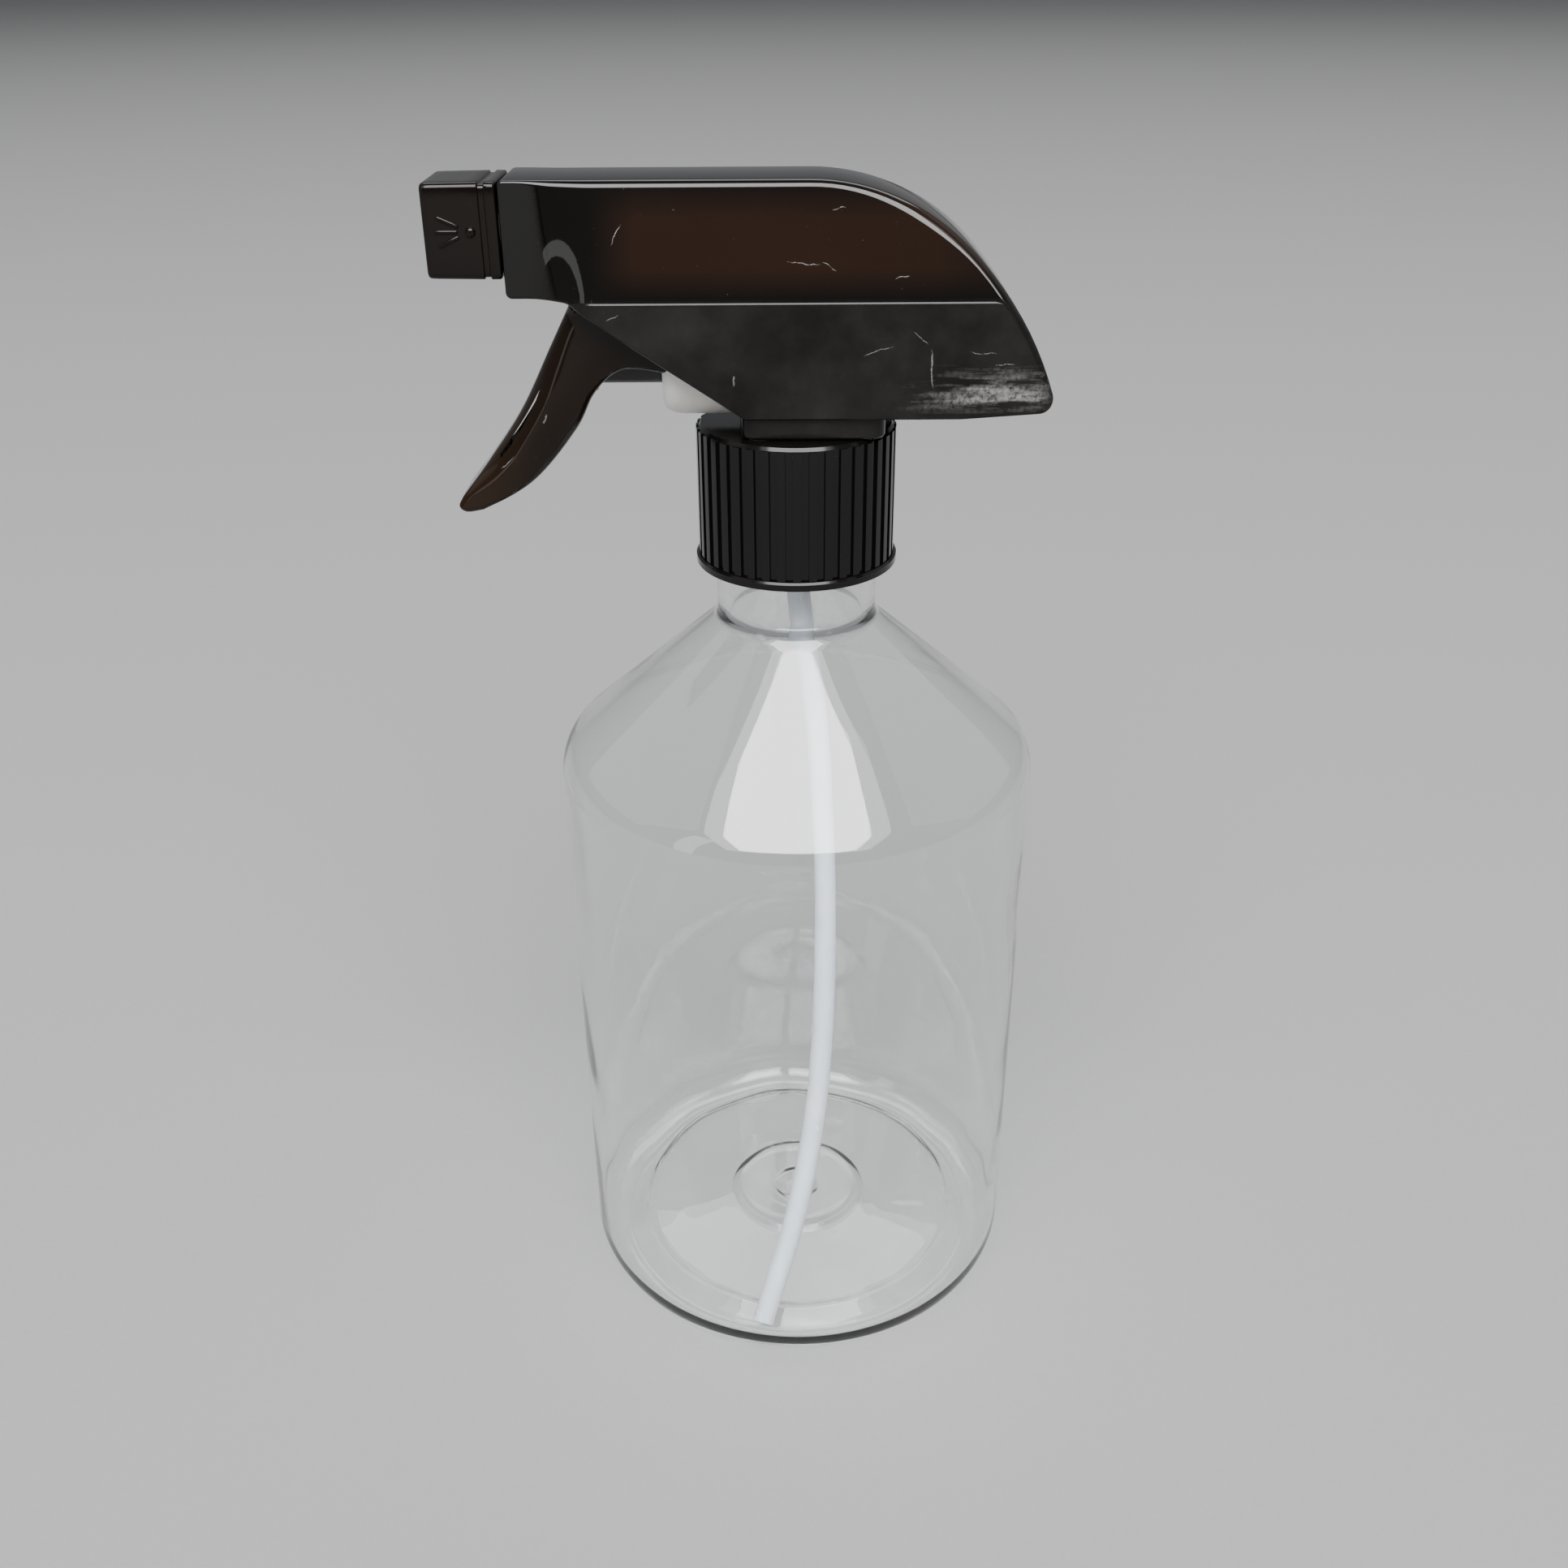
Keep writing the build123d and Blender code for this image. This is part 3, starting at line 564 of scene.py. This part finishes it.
def curve(points, per_span=12):
    """Smooth curve through the points."""
    pts = [Vector(p) for p in points]
    pts = [2 * pts[0] - pts[1]] + pts + [2 * pts[-1] - pts[-2]]
    made = []
    for a, b, c, d in zip(pts, pts[1:], pts[2:], pts[3:]):
        for i in range(per_span):
            t = i / per_span
            made.append(0.5 * (2 * b + (c - a) * t + (2 * a - 5 * b + 4 * c - d) * t * t
                               + (3 * b - a - 3 * c + d) * t ** 3))
    return made + [pts[-2]]


def closed_outline(corners, step):
    """Closed outline from (x, z, corner radius) entries, starting and ending in a side's middle."""
    points = [(x, z) for x, z, _ in corners]
    path = rounded(points, [r for _, _, r in corners[1:-1]], step)
    kept = [path[0]]
    for p in path[1:-1]:
        if (p - kept[-1]).length > 0.04:
            kept.append(p)
    area = sum(a.x * b.y - b.x * a.y for a, b in zip(kept, kept[1:] + kept[:1]))
    return kept if area > 0 else kept[::-1]


def inside(p, loop):
    hit = False
    for a, b in zip(loop, loop[1:] + loop[:1]):
        if (a.y > p[1]) != (b.y > p[1]):
            if p[0] < a.x + (p[1] - a.y) * (b.x - a.x) / (b.y - a.y):
                hit = not hit
    return hit


def pillow(name, loop, half_width, edge_round, grid=1.2, creases=(), rings=6):
    """Closed solid: the outline swept across Y, its sides at half_width(x, z) and its rim rounded."""
    count = len(loop)
    normals = []
    for i in range(count):
        along = (loop[(i + 1) % count] - loop[i - 1]).normalized()
        normals.append(Vector((-along.y, along.x)))
    radii = [edge_round(p.x, p.y) for p in loop]
    levels = [k / rings * math.pi / 2 for k in range(rings + 1)] if max(radii) > 0 else [0.0]
    made = bmesh.new()
    strips = []
    for side in (-1, 1):
        for level in levels:
            ring = []
            for p, n, r in zip(loop, normals, radii):
                q = p + n * r * (1 - math.cos(level))
                y = half_width(q.x, q.y) - r * (1 - math.sin(level))
                ring.append(made.verts.new((q.x * MM, side * y * MM, q.y * MM)))
            strips.append(ring)
    near, far = strips[: len(levels)], strips[len(levels):]
    bands = list(zip(near[:-1], near[1:])) + list(zip(far[1:], far[:-1])) + [(far[0], near[0])]
    for a, b in bands:
        for i in range(count):
            j = (i + 1) % count
            made.faces.new((a[i], a[j], b[j], b[i]))

    rim = [Vector((v.co.x / MM, v.co.z / MM)) for v in near[-1]]
    low = Vector((min(p.x for p in rim), min(p.y for p in rim)))
    high = Vector((max(p.x for p in rim), max(p.y for p in rim)))
    flat = list(rim)
    edges = [(i, (i + 1) % count) for i in range(count)]
    columns, rows = int((high.x - low.x) / grid) + 1, int((high.y - low.y) / grid) + 1
    heights = [low.y + grid * (j + 0.5) for j in range(rows)]
    heights = [z for z in heights if all(abs(z - c) > 0.35 * grid for c in creases)]
    heights += list(creases)
    for z in heights:
        before = None
        for i in range(columns):
            p = Vector((low.x + grid * (i + 0.5), z))
            if inside(p, rim) and min((p - q).length for q in rim) > 0.45 * grid:
                flat.append(p)
                if z in creases and before is not None:
                    edges.append((before, len(flat) - 1))
                before = len(flat) - 1
            else:
                before = None
    points, _, faces, origin, _, _ = delaunay_2d_cdt(flat, edges, [], 0, 1e-6)
    for side, outer in ((-1, near[-1]), (1, far[-1])):
        verts = []
        for k, p in enumerate(points):
            old = [o for o in origin[k] if o < count]
            if old:
                verts.append(outer[old[0]])
            else:
                y = side * half_width(p.x, p.y)
                verts.append(made.verts.new((p.x * MM, y * MM, p.y * MM)))
        for face in faces:
            centre = sum((points[i] for i in face), Vector((0, 0))) / len(face)
            if inside(centre, rim):
                made.faces.new([verts[i] for i in face])
    loose = [v for v in made.verts if not v.link_faces]
    bmesh.ops.delete(made, geom=loose, context="VERTS")
    bmesh.ops.recalc_face_normals(made, faces=made.faces)
    return as_object(name, made)


def as_object(name, made):
    mesh = bpy.data.meshes.new(name)
    made.to_mesh(mesh)
    made.free()
    piece = bpy.data.objects.new(name, mesh)
    bpy.context.scene.collection.objects.link(piece)
    return piece


def rod(name, start, end, radius, sides=48):
    """Cylinder between two points."""
    a, b = Vector(start) * MM, Vector(end) * MM
    made = bmesh.new()
    bmesh.ops.create_cone(
        made, cap_ends=True, segments=sides, depth=(b - a).length,
        radius1=radius * MM, radius2=radius * MM,
    )
    turn = (b - a).to_track_quat("Z", "Y").to_matrix().to_4x4()
    bmesh.ops.transform(made, matrix=Matrix.Translation((a + b) / 2) @ turn, verts=made.verts)
    return as_object(name, made)


def combine(target, other, kind):
    """Boolean of two closed meshes, applied; the other object is removed."""
    step = target.modifiers.new(kind, "BOOLEAN")
    step.operation = kind
    step.solver = "EXACT"
    step.object = other
    bpy.context.view_layer.update()
    done = target.evaluated_get(bpy.context.evaluated_depsgraph_get())
    mesh = bpy.data.meshes.new_from_object(done)
    target.modifiers.clear()
    old, target.data = target.data, mesh
    bpy.data.meshes.remove(old)
    bpy.data.objects.remove(other)


def dress(piece, look, body, node, half_width, sharp=20):
    """Shading, material and place of a finished shell; its sides shade from half_width itself."""
    slope_step = 0.05
    mesh = piece.data
    mesh.materials.clear()
    mesh.materials.append(look)
    for face in mesh.polygons:
        face.use_smooth = True
    mesh.set_sharp_from_angle(angle=math.radians(sharp))
    exact = {}
    for vert in mesh.vertices:
        x, y, z = vert.co / MM
        wide = half_width(x, z)
        if abs(abs(y) - wide) < 0.02:
            slope_x = half_width(x + slope_step, z) - half_width(x - slope_step, z)
            slope_z = half_width(x, z + slope_step) - half_width(x, z - slope_step)
            slope_x, slope_z = slope_x / (2 * slope_step), slope_z / (2 * slope_step)
            exact[vert.index] = Vector((-slope_x, math.copysign(1, y), -slope_z)).normalized()
    normals = []
    for face in mesh.polygons:
        for index in face.vertices:
            given = exact.get(index)
            fits = given is not None and given.dot(face.normal) > 0.985
            normals.append(given if fits else Vector((0, 0, 0)))
    mesh.normals_split_custom_set(normals)
    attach(piece, body)
    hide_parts(node)


# Hood
HOOD_TOP, HOOD_FRONT, HOOD_WALL = 197.4, -42.0, 1.3
TOP_HALF, CREASE_HALF, SIDE_HALF = 6.9, 12.12, 12.3
CREASE_Z, LEDGE_Z, SPOUT_BOTTOM, SIDE_BOTTOM = 181.6, 181.4, 181.2, 164.7
SIDE_FRONT, SLOPE_TOP_X = -7.5, -32.8
BOW = -0.05
REAR_X, REAR_R1, REAR_R2, TURN1, TURN2, REAR_HEEL_R = 2.0, 33.0, 50.0, 45.0, 71.5, 2.15
FLARE_START, FLARE_END = -39.0, -28.5
SPOUT_Z, SPOUT_HOLE_R = 190.5, 4.9


def hood_arc(inset, steps=26):
    """The hood's back: two arcs from the flat top down to the rear corner."""
    turn1 = math.radians(TURN1)
    centre1 = Vector((REAR_X, HOOD_TOP - REAR_R1))
    centre2 = centre1 + (REAR_R1 - REAR_R2) * Vector((math.sin(turn1), math.cos(turn1)))
    arc = []
    for i in range(steps + 1):
        turn = math.radians(TURN2 * i / steps)
        centre, radius = (centre1, REAR_R1) if turn < turn1 else (centre2, REAR_R2)
        arc.append(centre + (radius - inset) * Vector((math.sin(turn), math.cos(turn))))
    return arc


def hood_outline():
    arc = hood_arc(0.0)
    turn2 = math.radians(TURN2)
    centre = arc[-1] - REAR_HEEL_R * Vector((math.sin(turn2), math.cos(turn2)))
    for i in range(1, 11):
        turn = turn2 + (math.pi - turn2) * i / 10
        arc.append(centre + REAR_HEEL_R * Vector((math.sin(turn), math.cos(turn))))
    return closed_outline(
        [(-20, HOOD_TOP, 0)] + [(p.x, p.y, 0) for p in arc]
        + [(24.0, SIDE_BOTTOM, 8.0), (SIDE_FRONT, SIDE_BOTTOM, 1.2), (SLOPE_TOP_X, SPOUT_BOTTOM, 2.0),
           (HOOD_FRONT, SPOUT_BOTTOM, 0.9), (HOOD_FRONT, HOOD_TOP, 0.9), (-20, HOOD_TOP, 0)],
        0.8,
    )


def hood_half(x, z):
    """Half width of the hood: a leaning upper panel over a straight lower one, narrow at the spout."""
    if z >= CREASE_Z:
        rise = (HOOD_TOP - z) / (HOOD_TOP - CREASE_Z)
        wide = TOP_HALF + (CREASE_HALF - TOP_HALF) * rise
    else:
        drop = min(1.0, (CREASE_Z - z) / (CREASE_Z - LEDGE_Z))
        wide = CREASE_HALF + (SIDE_HALF - CREASE_HALF) * drop
    bow = BOW * math.sin(math.pi * min(1.0, max(0.0, (z - CREASE_Z) / (HOOD_TOP - CREASE_Z))))
    return TOP_HALF + (wide + bow - TOP_HALF) * smooth(x, FLARE_START, FLARE_END)


def hood_round(x, z):
    back = 0.75 * smooth(x, 4, 26) * smooth(z, 164.8, 169)
    return 0.45 + 0.55 * smooth(x, -40, -34) * smooth(z, 186, 194) + back


def build_hood():
    hood = pillow("hood", hood_outline(), hood_half, hood_round, 0.9, (CREASE_Z, LEDGE_Z))
    arc = hood_arc(HOOD_WALL)
    front, top = HOOD_FRONT + HOOD_WALL, HOOD_TOP - HOOD_WALL
    hollow = closed_outline(
        [(-20, top, 0)] + [(p.x, p.y, 0) for p in arc]
        + [(arc[-1].x, 150, 0.5), (front, 150, 0.5), (front, top, 0.5), (-20, top, 0)],
        1.5,
    )
    room = pillow("hollow", hollow, lambda x, z: hood_half(x, z) - HOOD_WALL, lambda x, z: 0.0, 1.6)
    combine(hood, room, "DIFFERENCE")
    hole = rod("hole", (HOOD_FRONT - 1, 0, SPOUT_Z), (HOOD_FRONT + 3, 0, SPOUT_Z), SPOUT_HOLE_R)
    combine(hood, hole, "DIFFERENCE")
    return hood


# Collar under the hood: a U of rounded corners, open at the front
COLLAR_BACK, COLLAR_HALF, COLLAR_WALL, COLLAR_OPEN = 13.2, 11.4, 1.3, 8.3
COLLAR_FRONT, COLLAR_LOW, COLLAR_HIGH = -8.4, 161.6, 166.8


def build_collar():
    """One wall of constant thickness along a U in plan, its lower edge eased."""
    mid = COLLAR_HALF - COLLAR_WALL / 2
    back, front = COLLAR_BACK - COLLAR_WALL / 2, COLLAR_FRONT + COLLAR_WALL / 2
    end = COLLAR_OPEN + 0.4
    path = rounded(
        [(front, -end), (front, -mid), (back, -mid), (back, mid), (front, mid), (front, end)],
        [1.8, 1.8, 1.8, 1.8], 1.0,
    )
    half = COLLAR_WALL / 2
    low, eased = COLLAR_LOW, half - 0.2
    section = [
        (-half, COLLAR_HIGH), (-half, low + 0.3), (-eased, low),
        (eased, low), (half, low + 0.3), (half, COLLAR_HIGH),
    ]
    made = bmesh.new()
    rings = []
    for i, p in enumerate(path):
        along = (path[min(i + 1, len(path) - 1)] - path[max(i - 1, 0)]).normalized()
        out = Vector((along.y, -along.x))
        rings.append([
            made.verts.new(((p.x + out.x * s) * MM, (p.y + out.y * s) * MM, z * MM)) for s, z in section
        ])
    for a, b in zip(rings, rings[1:]):
        for i in range(len(section)):
            j = (i + 1) % len(section)
            made.faces.new((a[i], a[j], b[j], b[i]))
    made.faces.new(rings[0])
    made.faces.new(rings[-1][::-1])
    bmesh.ops.recalc_face_normals(made, faces=made.faces)
    return as_object("collar", made)


hood = build_hood()
combine(hood, build_collar(), "UNION")
dress(hood, LOOKS["shroud"], "head", "shroud", hood_half)

# Trigger
TRIGGER_HALF, TRIGGER_INNER, TIP_HALF = 8.35, 7.35, 6.6
PIVOT, PIN_R = (-29.0, 184.5), 1.6
CROSSBAR, CROSSBAR_R = (-32.5, 170.0), 1.5


def trigger_outline():
    front = curve([(-33.0, 180.4), (-36.3, 174.2), (-41.6, 164.4), (-47.3, 156.4), (-51.75, 150.9)])
    tip = curve([(-51.75, 150.9), (-52.45, 149.4), (-51.2, 148.6), (-48.4, 149.2)], 6)
    back = curve([(-48.4, 149.2), (-40.0, 154.0), (-33.2, 161.8), (-30.2, 167.2), (-27.0, 170.4),
                  (-23.6, 171.0), (-17.0, 169.5), (-12.9, 167.9)])
    boss = [
        Vector(PIVOT) + 2.2 * Vector((math.cos(math.radians(t)), math.sin(math.radians(t))))
        for t in range(20, 191, 15)
    ]
    corners = [(p.x, p.y, 0) for p in front + tip[1:] + back[1:]]
    corners += [(-10.4, 170.8, 0.6), (-25.4, 183.6, 1.0)] + [(p.x, p.y, 0) for p in boss]
    corners += [(-31.9, 181.2, 0.8), (-33.0, 180.4, 0)]
    return closed_outline(corners, 0.6)


def trigger_middle(z):
    """X of the lever's middle line at this height."""
    return -31.0 - 0.62 * (174.0 - z)


def trigger_half(x, z):
    reach = 6.0 * math.tanh((x - trigger_middle(z)) / 6.0)
    crown = 0.06 * reach ** 2 * smooth(z, 178, 168)
    return TIP_HALF + (TRIGGER_HALF - TIP_HALF) * smooth(z, 148, 170) - crown


def trigger_round(x, z):
    on_front = smooth(trigger_middle(z) - x, 0.0, 2.0)
    lever = on_front * (0.3 + 2.4 * smooth(z, 151, 160)) * smooth(z, 182.5, 178)
    return 0.5 + lever + 0.6 * smooth(z, 172, 166) * smooth(z, 150, 156) + 0.2 * smooth(z, 172, 166)


def build_trigger():
    trigger = pillow("trigger_lever", trigger_outline(), trigger_half, trigger_round, 1.0, (), 9)
    inner = curve([(-31.8, 180.7), (-34.6, 174.6), (-39.9, 165.2), (-45.2, 157.8)])
    channel = [(-10, 190, 0), (-35.0, 190.0, 0.3), (-35.0, 181.4, 0.3)] + [(p.x, p.y, 0) for p in inner]
    channel += [(-43.2, 145.0, 0.5), (0.0, 145.0, 0.5), (0.0, 190.0, 0.5), (-10, 190, 0)]
    gap = pillow("channel", closed_outline(channel, 1.5),
                 lambda x, z: trigger_half(x, z) - 1.0, lambda x, z: 0.0, 1.6)
    combine(trigger, gap, "DIFFERENCE")
    x, z = PIVOT
    for side in (-1, 1):
        ends = (x, side * (TRIGGER_INNER - 1.9), z), (x, side * (TRIGGER_INNER + 0.5), z)
        combine(trigger, rod("pin", *ends, PIN_R, 32), "UNION")
    x, z = CROSSBAR
    reach = TRIGGER_INNER + 0.3
    combine(trigger, rod("bar", (x, -reach, z), (x, reach, z), CROSSBAR_R, 32), "UNION")
    return trigger


dress(build_trigger(), LOOKS["trigger"], "trigger", "trigger", trigger_half)

# Nozzle: rounded square knob with a groove, a conical orifice and a raised fan on two sides
NOZZLE_BACK, NOZZLE_FRONT, NOZZLE_HALF = -42.3, -53.0, 6.7
FAN_X, FAN_REACH, FAN_SPREAD, STROKE_LENGTH, STROKE_WIDTH, DOT = -46.4, 3.3, 24, 3.4, 0.62, 1.5
BOSS_BORE_R, INSERT_R, ORIFICE_R = 4.65, 2.9, 0.4
CONE_BOTTOM, SOCKET_FRONT, SOCKET_BACK = -51.8, -50.4, -48.2
NOZZLE_SKIN = (  # x, half size, corner radius; a round section where the radius is the half size
    (NOZZLE_BACK, BOSS_BORE_R, BOSS_BORE_R), (NOZZLE_BACK, 6.25, 0.7),
    (-42.34, 6.45, 0.8), (-42.46, 6.60, 0.9), (-42.66, 6.66, 0.9), (-43.75, 6.68, 0.9),
    (-43.88, 6.60, 0.9), (-43.97, 6.38, 0.8), (-44.70, 6.38, 0.8), (-44.79, 6.58, 0.9),
    (-44.92, 6.66, 0.9), (-46.5, 6.64, 0.9), (-49.0, 6.61, 0.9), (-51.5, 6.58, 0.9),
    (-52.45, 6.54, 0.9), (-52.72, 6.48, 0.9), (-52.91, 6.34, 0.8), (NOZZLE_FRONT, 6.12, 0.7),
    (NOZZLE_FRONT, 3.25, 3.25), (-52.93, 3.05, 3.05), (-51.85, 2.35, 2.35),
    (CONE_BOTTOM, ORIFICE_R, ORIFICE_R), (SOCKET_FRONT, ORIFICE_R, ORIFICE_R),
    (SOCKET_FRONT, INSERT_R, INSERT_R), (SOCKET_BACK, INSERT_R, INSERT_R),
    (SOCKET_BACK, BOSS_BORE_R, BOSS_BORE_R),
)


def rounded_square(half, radius, per_corner=9, per_side=6):
    points = []
    for quarter in range(4):
        turn = quarter * math.pi / 2
        spin = Matrix.Rotation(turn, 2)
        flat = half - radius
        for i in range(per_corner):
            a = math.pi / 2 * i / (per_corner - 1)
            points.append(spin @ Vector((flat + radius * math.cos(a), flat + radius * math.sin(a))))
        for i in range(1, per_side):
            points.append(spin @ Vector((flat * (1 - 2 * i / per_side), half)))
    return points


def stroke(name, side, x, z, length, slant, width):
    """Half-sunk bead on the nozzle's side: a capsule flattened across Y."""
    made = bmesh.new()
    bmesh.ops.create_uvsphere(made, u_segments=20, v_segments=12, radius=width / 2)
    bmesh.ops.rotate(made, matrix=Matrix.Rotation(math.pi / 2, 3, "Y"), verts=made.verts)
    reach = (length - width) / 2
    for vert in made.verts:
        vert.co.x += math.copysign(reach, vert.co.x) if abs(vert.co.x) > 1e-6 else 0.0
        vert.co.y *= 0.8
    turn = Matrix.Rotation(-math.radians(slant), 4, "Y")
    place = Matrix.Translation((x, side * (NOZZLE_HALF - 0.09), z))
    bmesh.ops.transform(made, matrix=Matrix.Scale(MM, 4) @ place @ turn, verts=made.verts)
    bmesh.ops.recalc_face_normals(made, faces=made.faces)
    return as_object(name, made)


def build_nozzle():
    """The knob as one closed skin of rings, out along the sides and back through the bore."""
    made = bmesh.new()
    rings = []
    for x, half, radius in NOZZLE_SKIN:
        square = rounded_square(half, radius)
        rings.append([made.verts.new((x * MM, p.x * MM, (SPOUT_Z + p.y) * MM)) for p in square])
    count = len(rings[0])
    for a, b in zip(rings, rings[1:] + rings[:1]):
        for i in range(count):
            j = (i + 1) % count
            made.faces.new((a[i], a[j], b[j], b[i]))
    bmesh.ops.recalc_face_normals(made, faces=made.faces)
    knob = as_object("nozzle_knob", made)
    for side in (-1, 1):
        for slant in (-FAN_SPREAD, 0, FAN_SPREAD):
            x = FAN_X - FAN_REACH * math.cos(math.radians(slant))
            z = SPOUT_Z + FAN_REACH * math.sin(math.radians(slant))
            bead = stroke("stroke", side, x, z, STROKE_LENGTH, -slant, STROKE_WIDTH)
            combine(knob, bead, "UNION")
        combine(knob, stroke("stroke", side, FAN_X + 0.2, SPOUT_Z, DOT, 0, DOT), "UNION")
    return knob


dress(build_nozzle(), LOOKS["nozzle"], "nozzle", "nozzle", lambda x, z: 0.0, 40)

# Return spring: a fixed coil; the real one shortens with the piston's stroke, which is not modelled
SPRING_FRONT, SPRING_BACK, SPRING_R, WIRE_R, SPRING_TURNS, STROKE = -15.9, -4.2, 3.95, 0.35, 5, 6.9645
BARREL_Z = 170.0


def build_spring(steps=200, around=10):
    """Round wire swept along a helix about X."""
    length = SPRING_BACK - SPRING_FRONT - 2 * WIRE_R
    made = bmesh.new()
    rings = []
    for i in range(steps + 1):
        turn = 2 * math.pi * SPRING_TURNS * i / steps
        out = Vector((0, math.cos(turn), math.sin(turn)))
        round_x = Vector((0, -math.sin(turn), math.cos(turn)))
        advance = Vector((length / (2 * math.pi * SPRING_TURNS), 0, 0))
        along = (round_x * SPRING_R + advance).normalized()
        side = along.cross(out)
        middle = Vector((SPRING_FRONT + WIRE_R + length * i / steps, 0, BARREL_Z))
        centre = middle + out * SPRING_R
        ring = []
        for k in range(around):
            a = 2 * math.pi * k / around
            reach = out * math.cos(a) + side * math.sin(a)
            ring.append(made.verts.new((centre + WIRE_R * reach) * MM))
        rings.append(ring)
    for a, b in zip(rings, rings[1:]):
        for i in range(around):
            j = (i + 1) % around
            made.faces.new((a[i], a[j], b[j], b[i]))
    made.faces.new(rings[0])
    made.faces.new(rings[-1][::-1])
    bmesh.ops.recalc_face_normals(made, faces=made.faces)
    for face in made.faces:
        face.smooth = len(face.verts) == 4
    return as_object("spring_coil", made)


coil = build_spring()
coil.data.materials.append(LOOKS["return_spring"])
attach(coil, "head")
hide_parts("return_spring")
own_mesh(coil)

# ---------------------------------------------------------------- floor
FLOOR_HALF = 7.0
floor_mesh = bpy.data.meshes.new("floor")
floor_mesh.from_pydata(
    [(x * FLOOR_HALF, y * FLOOR_HALF, 0) for x, y in ((-1, -1), (1, -1), (1, 1), (-1, 1))],
    [], [(0, 1, 2, 3)],
)
floor = bpy.data.objects.new("floor", floor_mesh)
bpy.context.scene.collection.objects.link(floor)
floor.location.z = -0.0002
n = Nodes("floor_paper")
floor_mesh.materials.append(n.finish(n.principled(
    Base_Color=n.mix(n.noise(900, 3), (0.215, 0.215, 0.215, 1), (0.232, 0.232, 0.232, 1)),
    Roughness=0.85, Normal=n.bump(n.noise(1600, 3), 0.00005, 0.3), Specular_IOR_Level=0.2,
)))
